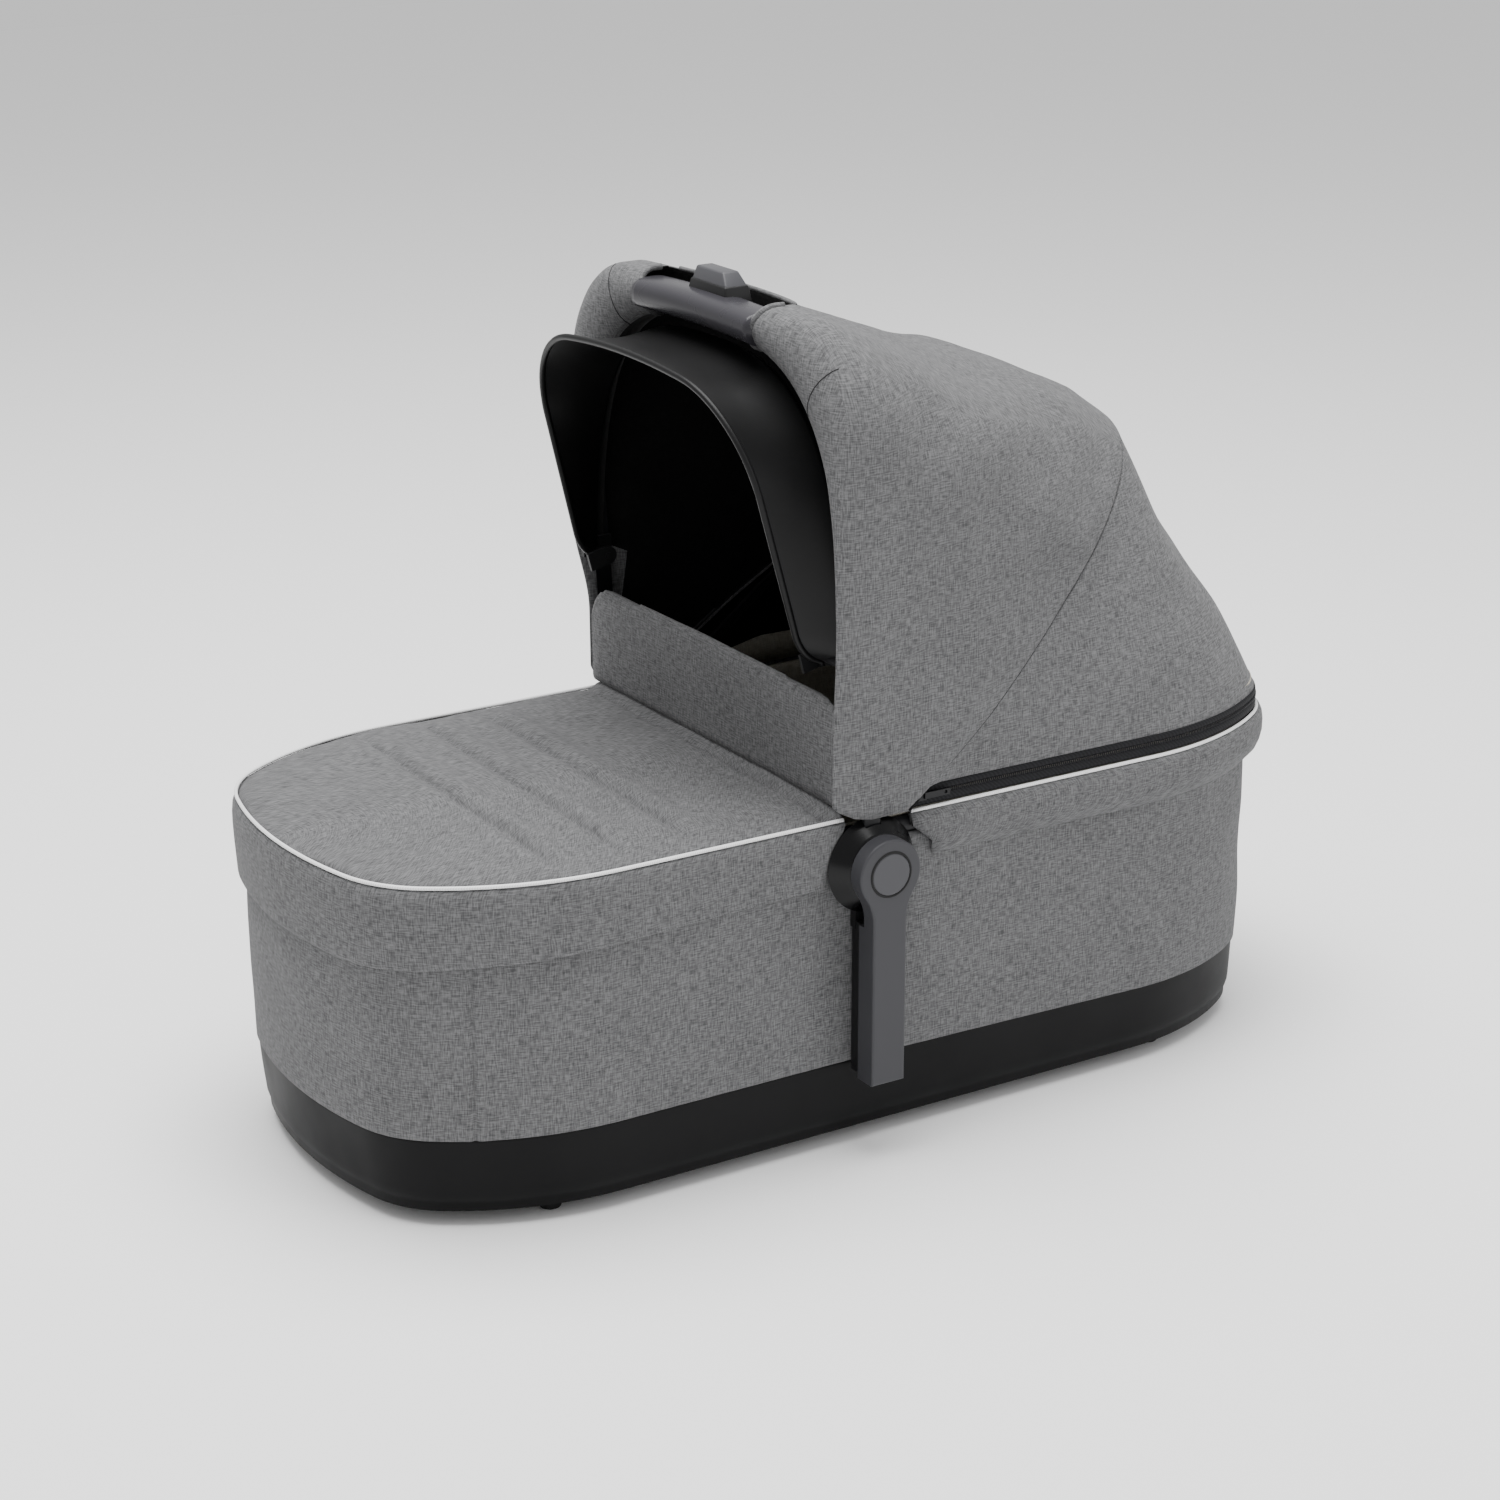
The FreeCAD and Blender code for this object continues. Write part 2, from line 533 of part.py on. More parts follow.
def make_visor():
    def hoop(x, inset=0.0):
        return hoop_edges(x, 156 - inset, VISOR_PIVOT.z + 7, 72, 84 - inset, VISOR_PIVOT.z + 213 - inset, 600)

    x = VISOR_PIVOT.x - 15.6
    path = Part.Wire(hoop(x))
    section = Part.Wire(Part.makeCircle(1.75, path.Vertexes[0].Point, Vector(0, 0, 1)))
    wire = path.makePipeShell([section], True, True)
    save("visor_wire", turn(wire, VISOR_PIVOT, -VISOR_TILT))
    plate = box((x - 2, VISOR_PIVOT.x), (157.8, 161.0), (VISOR_PIVOT.z - 7, VISOR_PIVOT.z + 8))
    plate = plate.fuse(cross_rod(7.5, VISOR_PIVOT.x, VISOR_PIVOT.z, (157.8, 161.0))).removeSplitter()
    plate = plate.cut(cross_rod(3 + RUNNING_FIT, VISOR_PIVOT.x, VISOR_PIVOT.z, (150, 170)))
    save_pair("visor_pivot", turn(plate, VISOR_PIVOT, -VISOR_TILT))
    save_pair("visor_bracket", visor_bracket())

    def fan(inset, grow):
        front = closed_arch(hoop(x - 3 - grow, inset - 4.5))
        front = turn(front, VISOR_PIVOT, -VISOR_TILT)
        back = closed_arch(hoop_edges(SLEEVE_X[0] - 1.2 + grow, 184 - inset, 399, 92, 90 - inset, 606 - inset))
        return Part.makeLoft([front, back], True, True)

    shell = fan(0, 0).cut(fan(1.5, 0.3)).common(box((-200, 0), (-300, 300), (401, 700)))
    save("visor_fabric", shell)


make_tray()
make_feet()
make_walls()
make_mattress()
make_rim()
make_head_band()
make_apron()
make_wind_flap()
make_zip()
make_arm()
make_axle()
make_release_buttons()
front_bow = make_front_bow()
make_sleeves(front_bow)
make_grip(front_bow)
make_mid_bow()
make_hood_panels(front_bow)
make_visor()
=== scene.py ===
# A pram carrycot with a folding hood: black moulded tray, grey melange walls and apron, zip-on hood
# with a carry grip, sun visor, and two side arms that plug onto a pushchair frame. Metres, +Z up.
import math
from contextlib import contextmanager
import bmesh
import bpy
import numpy as np
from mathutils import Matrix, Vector, noise


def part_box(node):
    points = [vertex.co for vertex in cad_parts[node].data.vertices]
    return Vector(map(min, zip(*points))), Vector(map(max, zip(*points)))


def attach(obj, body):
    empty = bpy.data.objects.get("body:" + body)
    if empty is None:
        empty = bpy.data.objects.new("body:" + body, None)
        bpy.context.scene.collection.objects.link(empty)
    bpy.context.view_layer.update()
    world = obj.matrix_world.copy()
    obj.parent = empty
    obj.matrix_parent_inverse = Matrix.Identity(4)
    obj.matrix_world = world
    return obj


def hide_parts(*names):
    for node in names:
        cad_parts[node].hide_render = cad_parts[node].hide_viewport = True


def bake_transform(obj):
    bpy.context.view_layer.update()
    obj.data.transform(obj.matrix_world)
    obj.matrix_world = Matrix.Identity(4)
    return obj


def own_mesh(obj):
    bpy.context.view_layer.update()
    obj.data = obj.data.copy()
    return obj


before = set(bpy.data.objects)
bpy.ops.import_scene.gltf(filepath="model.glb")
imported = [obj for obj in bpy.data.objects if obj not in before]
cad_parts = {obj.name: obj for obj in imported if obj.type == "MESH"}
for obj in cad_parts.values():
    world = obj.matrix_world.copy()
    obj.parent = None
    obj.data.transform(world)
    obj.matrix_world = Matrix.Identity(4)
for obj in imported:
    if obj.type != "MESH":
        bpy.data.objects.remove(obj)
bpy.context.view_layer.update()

# ---- moulded base tray ----
# Injection-moulded polypropylene with a satin grain. It carries the floor of the cot, and its
# upper edge is the shelf that the fabric walls stand on.

MM = 0.001
TRAY_LOW, TRAY_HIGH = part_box("base_tray")
HALF_WIDTH = TRAY_HIGH.y                     # the piping line and the tray's upper edge
RIM_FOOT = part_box("apron_skirt")[0].x
RIM_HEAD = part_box("head_rim_band")[1].x
WALL_FOOT, WALL_HEAD = (corner.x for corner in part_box("outer_fabric_wall"))
WALL_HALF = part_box("outer_fabric_wall")[1].y
PIPING = (RIM_FOOT + 5 * MM, RIM_HEAD - 5 * MM, HALF_WIDTH)
WALL = (WALL_FOOT, WALL_HEAD + 5 * MM, WALL_HALF)     # the padding fills out the head end
FOOT_ARCS = (0.240, 0.090, 0.380)            # off the side, round the corner, across the tip
HEAD_ARCS = (0.240, 0.080, 0.600)
SIDE_TURN = math.radians(34)
HUB = Vector((-0.026, 0, 0.234))


def grown(plan, out):
    """A plan outline moved outwards all round."""
    return plan[0] - out, plan[1] + out, plan[2] + out


def end_points(plan, side, counts):
    """Points round one end of the cot, from the left side over the tip to the right side."""
    tip, arcs = (plan[0], FOOT_ARCS) if side < 0 else (plan[1], HEAD_ARCS)
    big, corner, end = (radius + plan[2] - HALF_WIDTH for radius in arcs)
    big_y = plan[2] - big
    corner_x = (big - corner) * math.sin(SIDE_TURN)
    corner_y = big_y + (big - corner) * math.cos(SIDE_TURN)
    end_turn = math.acos(corner_y / (end - corner))
    end_x = corner_x - (end - corner) * math.sin(end_turn)
    start = abs(tip) - end_x - end
    spans = ((0, big_y, big, 0, SIDE_TURN), (corner_x, corner_y, corner, SIDE_TURN, end_turn),
             (end_x, 0, end, end_turn, math.pi / 2))
    points = []
    for (x, y, radius, low, high), count in zip(spans, counts):
        for angle in np.linspace(low, high, count, endpoint=False):
            points.append((side * (start + x + radius * math.sin(angle)), y + radius * math.cos(angle)))
    return points + [(tip, 0.0)] + [(x, -y) for x, y in reversed(points)]


def end_path(plan, side, stop, straight=26, counts=(14, 16, 12)):
    """The outline round one end, with its straight sides back to x = stop."""
    ring = end_points(plan, side, counts)
    lead = np.linspace(stop, ring[0][0], straight, endpoint=False)
    return np.array([(x, plan[2]) for x in lead] + ring + [(x, -plan[2]) for x in lead[::-1]])


def full_loop(plan, z, straight=26, counts=(14, 16, 12)):
    """The whole outline as a closed ring of points at height z."""
    foot = end_path(plan, -1, HUB.x, straight, counts)
    head = end_path(plan, 1, HUB.x, straight, counts)[::-1]
    ring = np.vstack([foot, head[1:-1]])
    return np.column_stack([ring, np.full(len(ring), z)])


def half_loop(plan, side, stop, z):
    """The outline round one end (side is -1 at the foot), back to x = stop, at height z."""
    ring = end_path(plan, side, stop)
    return np.column_stack([ring, np.full(len(ring), z)])


def linear(code):
    """An sRGB hex colour as linear red, green, blue and alpha."""
    parts = [int(code[i:i + 2], 16) / 255 for i in (0, 2, 4)]
    return [p / 12.92 if p <= 0.04045 else ((p + 0.055) / 1.055) ** 2.4 for p in parts] + [1.0]


def add_node(tree, kind, settings=None, inputs=None, links=None):
    """One node with its settings, its input values and its links (input name: output socket)."""
    made = tree.nodes.new(kind)
    for key, value in (settings or {}).items():
        setattr(made, key, value)
    for key, value in (inputs or {}).items():
        made.inputs[key].default_value = value
    for key, socket in (links or {}).items():
        tree.links.new(socket, made.inputs[key])
    return made


def start_material(name, roughness, **values):
    """A material with only its shader, whose uniform values are set on their own sockets."""
    made = bpy.data.materials.new(name)
    made.use_nodes = True
    shader = made.node_tree.nodes["Principled BSDF"]
    shader.inputs["Roughness"].default_value = roughness
    for key, value in values.items():
        shader.inputs[key.replace("_", " ")].default_value = value
    return made, made.node_tree, shader


def end_material(made, tint_by, dark, light, bump_by, strength, distance):
    """Joins a mix of two colours and a bump to the material's shader."""
    tree = made.node_tree
    shader = tree.nodes["Principled BSDF"]
    tint = add_node(tree, "ShaderNodeMix", {"data_type": "RGBA"}, {6: dark, 7: light}, {0: tint_by})
    bump = add_node(tree, "ShaderNodeBump", inputs={"Strength": strength, "Distance": distance},
                    links={"Height": bump_by})
    tree.links.new(tint.outputs[2], shader.inputs["Base Color"])
    tree.links.new(bump.outputs["Normal"], shader.inputs["Normal"])
    return made


def moulded_plastic(name, colour, roughness, grain=0.9 * MM, depth=0.12, lift=1.25, shine=0.25):
    """Moulded plastic: a fine spark-eroded grain, cloudy gloss and slightly paler handled areas.
    The grain is drawn at 0.9 mm, coarser than the real 0.2 mm, so that it shows."""
    made, tree, shader = start_material(name, roughness, Specular_IOR_Level=shine)
    place = add_node(tree, "ShaderNodeTexCoord")
    cloud = add_node(tree, "ShaderNodeTexNoise", inputs={"Scale": 14.0, "Detail": 4.0},
                     links={"Vector": place.outputs["Object"]})
    pits = add_node(tree, "ShaderNodeTexNoise", inputs={"Scale": 1 / grain, "Detail": 2.0},
                    links={"Vector": place.outputs["Object"]})
    base = linear(colour)
    pale = [min(1.0, c * lift) for c in base[:3]] + [1.0]
    gloss = add_node(tree, "ShaderNodeMapRange", inputs={
        "From Min": 0.3, "From Max": 0.7, "To Min": roughness - 0.05, "To Max": roughness + 0.07},
        links={"Value": cloud.outputs["Fac"]})
    tree.links.new(gloss.outputs["Result"], shader.inputs["Roughness"])
    return end_material(made, cloud.outputs["Fac"], base, pale, pits.outputs["Fac"], depth, 0.2 * MM)


def add_object(name, data):
    """A new object in the scene for a mesh, curve, camera or lamp."""
    made = bpy.data.objects.new(name, data)
    bpy.context.scene.collection.objects.link(made)
    return made


@contextmanager
def edited(data):
    """Opens a mesh for editing and writes it back afterwards."""
    work = bmesh.new()
    work.from_mesh(data)
    yield work
    work.to_mesh(data)
    work.free()


def sheet_mesh(name, rows, material, close=False, flip=False):
    """A grid mesh from rows of points. Its UV map measures the cloth in metres."""
    rows = np.asarray(rows, float)
    count, width = rows.shape[:2]
    along = np.linalg.norm(np.diff(rows, axis=1, append=rows[:, :1]), axis=2)
    across = np.linalg.norm(np.diff(rows, axis=0), axis=2)
    u = np.hstack([np.zeros((count, 1)), np.cumsum(along, axis=1)])
    u -= u[:, [width // 2]]
    v = np.vstack([np.zeros((1, width)), np.cumsum(across, axis=0)])
    v = np.hstack([v, v[:, :1]])
    faces, corners = [], []
    for r in range(count - 1):
        for c in range(width if close else width - 1):
            d = (c + 1) % width
            quad = [(r, c, c), (r, d, c + 1), (r + 1, d, c + 1), (r + 1, c, c)]
            if flip:
                quad.reverse()
            faces.append([row * width + column for row, column, _ in quad])
            corners += [(u[row, place], v[row, place]) for row, _, place in quad]
    mesh = bpy.data.meshes.new(name)
    mesh.from_pydata(rows.reshape(-1, 3).tolist(), [], faces)
    mesh.uv_layers.new(name="cloth").data.foreach_set("uv", np.ravel(corners))
    mesh.materials.append(material)
    mesh.shade_smooth()
    return add_object(name, mesh)


def settle(piece):
    """Applies a piece's modifiers and leaves a plain mesh."""
    graph = bpy.context.evaluated_depsgraph_get()
    piece.data = bpy.data.meshes.new_from_object(
        piece.evaluated_get(graph), preserve_all_data_layers=True, depsgraph=graph)
    piece.modifiers.clear()
    return piece


def cap_and_close(piece, merge=0.01 * MM):
    """Merges doubles, fills open ends and turns every face outwards."""
    with edited(piece.data) as work:
        bmesh.ops.remove_doubles(work, verts=work.verts, dist=merge)
        bmesh.ops.dissolve_degenerate(work, edges=work.edges, dist=merge / 2)
        bmesh.ops.holes_fill(work, edges=[e for e in work.edges if e.is_boundary], sides=0)
        bmesh.ops.recalc_face_normals(work, faces=work.faces)
    return piece


def closed_mesh(name, rows, material, close=False):
    """A solid shape from rows of points: merged, capped and facing outwards."""
    return cap_and_close(sheet_mesh(name, rows, material, close))


def finish(piece, body, slot, *replaced):
    """Parents a piece to the body that it moves with and hides the plain solids that it stands for; slot is
    not used.
    """
    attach(piece, body)
    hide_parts(*replaced)
    return piece


def section_loop(levels):
    """Rows round the whole cot from (foot, head, half width, z) levels."""
    return [full_loop(level[:3], level[3]) for level in levels]


black_base = moulded_plastic("satin_black_polypropylene", "060607", 0.5, shine=0.14)
TRAY_TOP, TRAY_FLOOR = TRAY_HIGH.z, TRAY_LOW.z
TRAY_EDGE = grown(WALL, -2.2 * MM)
TRAY_FOOTPRINT = (-0.411, 0.408, WALL_HALF - 3 * MM)
ROUND = 20 * MM                              # radius of the tray's lower edge
tray_levels = []
for k in range(9):
    angle = math.pi / 2 * k / 8
    level = grown(TRAY_FOOTPRINT, -ROUND * (1 - math.sin(angle)))
    tray_levels.append((*level, TRAY_FLOOR + ROUND * (1 - math.cos(angle))))
for share in (0.25, 0.5, 0.75, 0.94, 1.0):
    mix = [a + (b - a) * (1 - (1 - share) ** 1.4) for a, b in zip(TRAY_FOOTPRINT, TRAY_EDGE)]
    tray_levels.append((*mix, TRAY_FLOOR + ROUND + (TRAY_TOP - TRAY_FLOOR - ROUND) * share))
for inset, rise in ((0.8, 0.9), (9, 0.9), (9, -4), (3, -5)):         # mm, the shelf and its underside
    tray_levels.append((*grown(TRAY_EDGE, -inset * MM), TRAY_TOP + rise * MM))
tray_levels.append((*grown(TRAY_FOOTPRINT, -3 * MM), TRAY_FLOOR + 3 * MM))
tray = closed_mesh("base_tray_moulding", section_loop(tray_levels), black_base, close=True)
finish(tray, "tub", "moulded_base", "base_tray")

# ---- floor board, feet and screws ----
# A grey board lies in the tray. Four soft black rubber feet are screwed under it; the screws
# are zinc-plated steel.

rubber = moulded_plastic("black_rubber", "141414", 0.7, grain=0.6 * MM, depth=0.25)
board_grey = moulded_plastic("grey_fibre_board", "4a4a4a", 0.8, grain=1.5 * MM, depth=0.3)


def steel(name, colour, roughness):
    """Plated steel: bright metal with short rolling lines 0.4 mm apart."""
    made, tree, _ = start_material(name, roughness, Metallic=1.0)
    place = add_node(tree, "ShaderNodeTexCoord")
    stretch = add_node(tree, "ShaderNodeMapping", inputs={"Scale": (2500.0, 60.0, 60.0)},
                       links={"Vector": place.outputs["Object"]})
    lines = add_node(tree, "ShaderNodeTexNoise", inputs={"Scale": 1.0, "Detail": 3.0},
                     links={"Vector": stretch.outputs["Vector"]})
    duller = [c * 0.8 for c in linear(colour)[:3]] + [1.0]
    return end_material(made, lines.outputs["Fac"], linear(colour), duller, lines.outputs["Fac"],
                        0.1, 0.05 * MM)


zinc_steel = steel("zinc_plated_steel", "9a9da1", 0.35)


def dress(material, *nodes):
    """Gives CAD nodes that keep their shape a material."""
    for node in nodes:
        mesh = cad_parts[node].data
        mesh.materials.clear()
        mesh.materials.append(material)


dress(rubber, "rubber_feet")
dress(board_grey, "base_board", "foot_stiffener", "head_stiffener", "side_stiffener_left",
      "side_stiffener_right")
dress(zinc_steel, "foot_screws", "arm_screws_left", "arm_screws_right", "handle_spring",
      "hood_axle_left", "hood_axle_right")

# ---- outer fabric wall ----
# Grey melange polyester on a thin foam backing, sewn from two long panels with upright seams at
# the corners of the foot end. It hangs from the rim and is tucked behind the tray's edge.


def melange(name, dark, light, weave=1.0 * MM, fleck=0.5):
    """Woven melange polyester: short upright and level flecks of paler and darker yarn. The yarn
    is drawn 1 mm apart, about twice the real spacing, so that it shows."""
    made, tree, _ = start_material(name, 0.92, Sheen_Weight=0.06, Sheen_Roughness=0.5,
                                   Specular_IOR_Level=0.15)
    cloth = add_node(tree, "ShaderNodeUVMap", {"uv_map": "cloth"}).outputs["UV"]
    thread, run = 1 / weave, 1 / (weave * 8)
    yarns = []
    for across, along, shift in ((thread, run, 0.0), (run, thread, 7.3)):
        spot = add_node(tree, "ShaderNodeMapping", inputs={
            "Scale": (across, along, 1.0), "Location": (shift, shift, shift)}, links={"Vector": cloth})
        yarn = add_node(tree, "ShaderNodeTexNoise", {"noise_dimensions": "2D"},
                        {"Scale": 1.0, "Detail": 2.0, "Roughness": 0.5}, {"Vector": spot.outputs["Vector"]})
        yarns.append(yarn.outputs["Fac"])
    both = add_node(tree, "ShaderNodeMath", {"operation": "ADD"}, links={0: yarns[0], 1: yarns[1]})
    spread = add_node(tree, "ShaderNodeMapRange", inputs={
        "From Min": 1.0 - fleck * 0.62, "From Max": 1.0 + fleck * 0.62}, links={"Value": both.outputs[0]})
    cloud = add_node(tree, "ShaderNodeTexNoise", {"noise_dimensions": "2D"},
                     {"Scale": 22.0, "Detail": 5.0, "Roughness": 0.65}, {"Vector": cloth})
    blend = add_node(tree, "ShaderNodeMath", {"operation": "MULTIPLY_ADD"}, {1: 0.3},
                     {0: cloud.outputs["Fac"], 2: spread.outputs["Result"]})
    level = add_node(tree, "ShaderNodeMapRange", inputs={"From Min": 0.0, "From Max": 1.3},
                     links={"Value": blend.outputs[0]})
    return end_material(made, level.outputs["Result"], linear(dark), linear(light), both.outputs[0],
                        0.35, 0.35 * MM)


grey_melange = melange("grey_melange_polyester", "3c3c3d", "747475")


def ripple(point, scale, height, seed=0.0):
    """A small smooth random height at a point, for cloth that is never quite flat."""
    return height * noise.noise(Vector(point) / scale + Vector((seed, seed, seed)))


def push(rows, amount):
    """Moves each point of a grid along its own normal by amount(row, column, point)."""
    rows = np.asarray(rows, float)
    along = np.gradient(rows, axis=1)
    across = np.gradient(rows, axis=0)
    normal = np.cross(along, across)
    size = np.linalg.norm(normal, axis=2, keepdims=True)
    normal = np.where(size > 1e-12, normal / np.maximum(size, 1e-12), 0.0)
    shift = np.array([[amount(r, c, rows[r, c]) for c in range(rows.shape[1])]
                      for r in range(rows.shape[0])])
    return rows + normal * shift[:, :, None]


def push_out(rows, amount, at, way):
    """Pushes a grid outwards. At the grid's point (row, column) outwards is along way, whichever
    side the grid's own normals lie on."""
    trial = push(rows, lambda r, c, point: MM)
    side = np.sign((trial[at] - rows[at]) @ way)
    return push(rows, lambda r, c, point: side * amount(r, c, point))


def thicken(piece, thickness, offset=-1.0, inside=None):
    """Turns an open sheet into cloth of a real thickness; inside is the material of its back."""
    made = piece.modifiers.new("cloth", "SOLIDIFY")
    made.thickness, made.offset = thickness, offset
    if inside:
        piece.data.materials.append(inside)
        made.material_offset = 1
        made.material_offset_rim = 0
    return settle(piece)


SEAM_X = -0.345                              # upright seams at the foot corners
WALL_ROWS = 34
UNDER_RIM = 0.249                            # the wall ends out of sight behind the rim bands


def wall_hem(x):
    """Height of the wall's lower edge: it laps over the tray, lower towards the head."""
    return TRAY_TOP + 0.5 * MM - 7.5 * MM * min(1.0, max(0.0, (x + 0.05) / 0.42)) ** 1.2


wall_ring = full_loop(grown(WALL, -0.2 * MM), 0.0, 60, (90, 24, 12))
hem_line = np.array([wall_hem(x) for x in wall_ring[:, 0]])
wall_rows = np.array([wall_ring] * (WALL_ROWS + 1))
for r in range(WALL_ROWS + 1):
    wall_rows[r, :, 2] = hem_line + (UNDER_RIM - hem_line) * r / WALL_ROWS


def wall_shape(r, c, point):
    tuck = -0.5 * MM * math.exp(-r / WALL_ROWS * 22)
    seam = -2.2 * MM * math.exp(-((point[0] - SEAM_X) / (1.8 * MM)) ** 2)
    seam += 0.8 * MM * math.exp(-((point[0] - SEAM_X) / (9 * MM)) ** 2)
    calm = min(1.0, r / 9)
    return tuck + seam + calm * (ripple(point, 0.09, 2.6 * MM) + ripple(point, 0.04, 1.1 * MM, 3.0))


wall_rows = push_out(wall_rows, wall_shape, (0, 0), (0, 1, 0))
wall = sheet_mesh("wall_fabric", wall_rows, grey_melange, close=True)
thicken(wall, 1.0 * MM)
cap_and_close(wall)
finish(wall, "tub", "grey_fabric", "outer_fabric_wall")

# ---- lining and mattress ----
# Warm grey cotton jersey lines the cot and folds over the rim tube. The mattress is a foam pad
# in a sewn cover: it swells between its seams and sags a little at the edge.

lining_cloth = melange("warm_grey_jersey", "837f75", "a09c91", weave=0.9 * MM, fleck=0.35)
KNEE = TRAY_TOP - 6 * MM
mattress_low, mattress_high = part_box("mattress_cover")
LINER_FLOOR = (mattress_low.x - 6 * MM, mattress_high.x + 6 * MM, mattress_high.y + 5 * MM)
LINER_WALL = grown((WALL_FOOT, WALL_HEAD, WALL_HALF), -8.4 * MM)     # inside the stiffener boards
TUBE_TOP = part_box("rim_tube_foot")[1].z
lining_levels = [(*grown(LINER_FLOOR, -0.5 * MM), 0.0172), (*LINER_WALL, KNEE), (*LINER_WALL, 0.12),
                 (*LINER_WALL, 0.18), (*LINER_WALL, 0.235), (*grown(LINER_WALL, -1.2 * MM), 0.25),
                 (*grown(LINER_WALL, -1.6 * MM), 0.258), (*grown(LINER_WALL, 0.4 * MM), TUBE_TOP + 1.5 * MM),
                 (*grown(PIPING, -6 * MM), TUBE_TOP + 1.8 * MM)]
lining = sheet_mesh("cot_lining", section_loop(lining_levels), lining_cloth, close=True, flip=True)
with edited(lining.data) as work:
    floor_edge = [e for e in work.edges if e.is_boundary and e.verts[0].co.z < 0.03]
    bmesh.ops.holes_fill(work, edges=floor_edge, sides=0)
    bmesh.ops.recalc_face_normals(work, faces=work.faces)
thicken(lining, 0.9 * MM, offset=0.0)
finish(lining, "tub", "lining", "inner_liner")


def inflate(piece, material, voxel, pressure, frames, cap):
    """Remeshes a closed pad into even squares, blows it up with cloth pressure, and limits how far
    each point may travel."""
    even = piece.modifiers.new("even", "REMESH")
    even.mode, even.voxel_size = "VOXEL", voxel
    settle(piece)
    piece.data.materials.clear()
    piece.data.materials.append(material)
    start = np.array([v.co for v in piece.data.vertices])
    cloth = piece.modifiers.new("cloth", "CLOTH")
    cloth.settings.use_pressure = True
    cloth.settings.uniform_pressure_force = pressure
    cloth.settings.effector_weights.gravity = 0
    cloth.settings.quality = 5
    cloth.settings.tension_stiffness = cloth.settings.compression_stiffness = 25
    cloth.point_cache.frame_end = frames
    for step in range(1, frames + 1):
        bpy.context.scene.frame_set(step)
    settle(piece)
    moved = np.array([v.co for v in piece.data.vertices]) - start
    length = np.linalg.norm(moved, axis=1, keepdims=True)
    moved *= np.minimum(1.0, cap / np.maximum(length, 1e-9))
    for vertex, point in zip(piece.data.vertices, start + moved):
        vertex.co = point
    bpy.context.scene.frame_set(1)


def box_uv(piece):
    """A UV map in metres, laid on from above and from the sides, for pieces without a grid."""
    mesh = piece.data
    layer = mesh.uv_layers.get("cloth") or mesh.uv_layers.new(name="cloth")
    uv = np.zeros((len(mesh.loops), 2))
    for face in mesh.polygons:
        size = [abs(a) for a in face.normal]
        main = size.index(max(size))
        first, second = ((1, 2), (0, 2), (0, 1))[main]
        for loop in face.loop_indices:
            point = mesh.vertices[mesh.loops[loop].vertex_index].co
            uv[loop] = point[first], point[second]
    layer.data.foreach_set("uv", uv.ravel())


pad_plan = (mattress_low.x + 5 * MM, mattress_high.x - 5 * MM, mattress_high.y - 5 * MM)
pad_low, pad_high = mattress_low.z + 2 * MM, mattress_high.z - 5 * MM
pad_levels = [(*grown(pad_plan, -5 * MM), pad_low), (*pad_plan, pad_low + 5 * MM),
              (*pad_plan, pad_high - 5 * MM), (*grown(pad_plan, -5 * MM), pad_high)]
mattress = closed_mesh("mattress_pad", section_loop(pad_levels), lining_cloth, close=True)
inflate(mattress, lining_cloth, voxel=9 * MM, pressure=3.0, frames=14, cap=5 * MM)
mattress.data.shade_smooth()
box_uv(mattress)
finish(mattress, "tub", "lining", "mattress_cover", "mattress_foam")

# ---- rim tube and joiners ----
# Two bent aluminium tubes make the rim, plugged into a black nylon joiner at each hub. They are coloured
# near black as painted shade, so that where they show between the fabric bands they read as shadow and no
# metal shows.

tube_painted_dark = moulded_plastic("rim_tube_painted_as_shade", "161618", 0.5, grain=1.5 * MM)
black_nylon = moulded_plastic("black_nylon", "131314", 0.45)
dress(tube_painted_dark, "rim_tube_foot", "rim_tube_head")
dress(black_nylon, "rim_joiner_left", "rim_joiner_right")

# ---- apron: skirt, top and piping ----
# The apron is a quilted cover. Its top has three cross seams and a crease where the wind flap
# starts; its skirt pulls down over the rim, and white reflective piping joins the two.


def skirt_stop(z):
    """Where the skirt's slanted edge ends beside the hub."""
    return -0.047 - 0.020 * max(0.0, (0.268 - z) / 0.059) ** 0.8


def padded_band(name, rows, scale, seed):
    """Closes the lines of a band into a tube whose face wanders by up to 0.7 mm."""
    made = sheet_mesh(name, rows + rows[:1], grey_melange)
    for vertex in made.data.vertices:
        way = Vector((vertex.co.x * 0.4, vertex.co.y, 0)).normalized()
        vertex.co += way * ripple(vertex.co, scale, 0.7 * MM, seed)
    return cap_and_close(made)


# Millimetres out and down from the piping: rolled top, full middle, hemmed lower edge.
SKIRT_PROFILE = [(0.4, 0.0), (2.6, -1.5), (4.2, -5.5), (4.9, -12.0), (4.9, -20.0), (4.4, -33.0),
                 (3.6, -48.0), (3.1, -57.0), (2.6, -59.4), (1.6, -60.0), (0.6, -59.2), (0.2, -56.0),
                 (0.6, -36.0), (1.0, -14.0), (0.8, -6.0), (-0.8, -2.0)]
SKIRT_TOP = 0.2700
skirt_rows = []
for out, down in SKIRT_PROFILE:
    z = SKIRT_TOP + down * MM
    row = half_loop(grown(PIPING, out * MM), -1, skirt_stop(z), z)
    toward_tip = np.clip((-row[:, 0] - 0.05) / 0.37, 0, 1)
    depth = 50 + 14 * toward_tip ** 1.5      # mm deep: 50 beside the hubs, 64 at the tip
    row[:, 2] = SKIRT_TOP + down * MM * depth / 60
    skirt_rows.append(row)
skirt = padded_band("apron_skirt_cloth", skirt_rows, 0.06, 5.0)
finish(skirt, "tub", "grey_fabric", "apron_skirt")

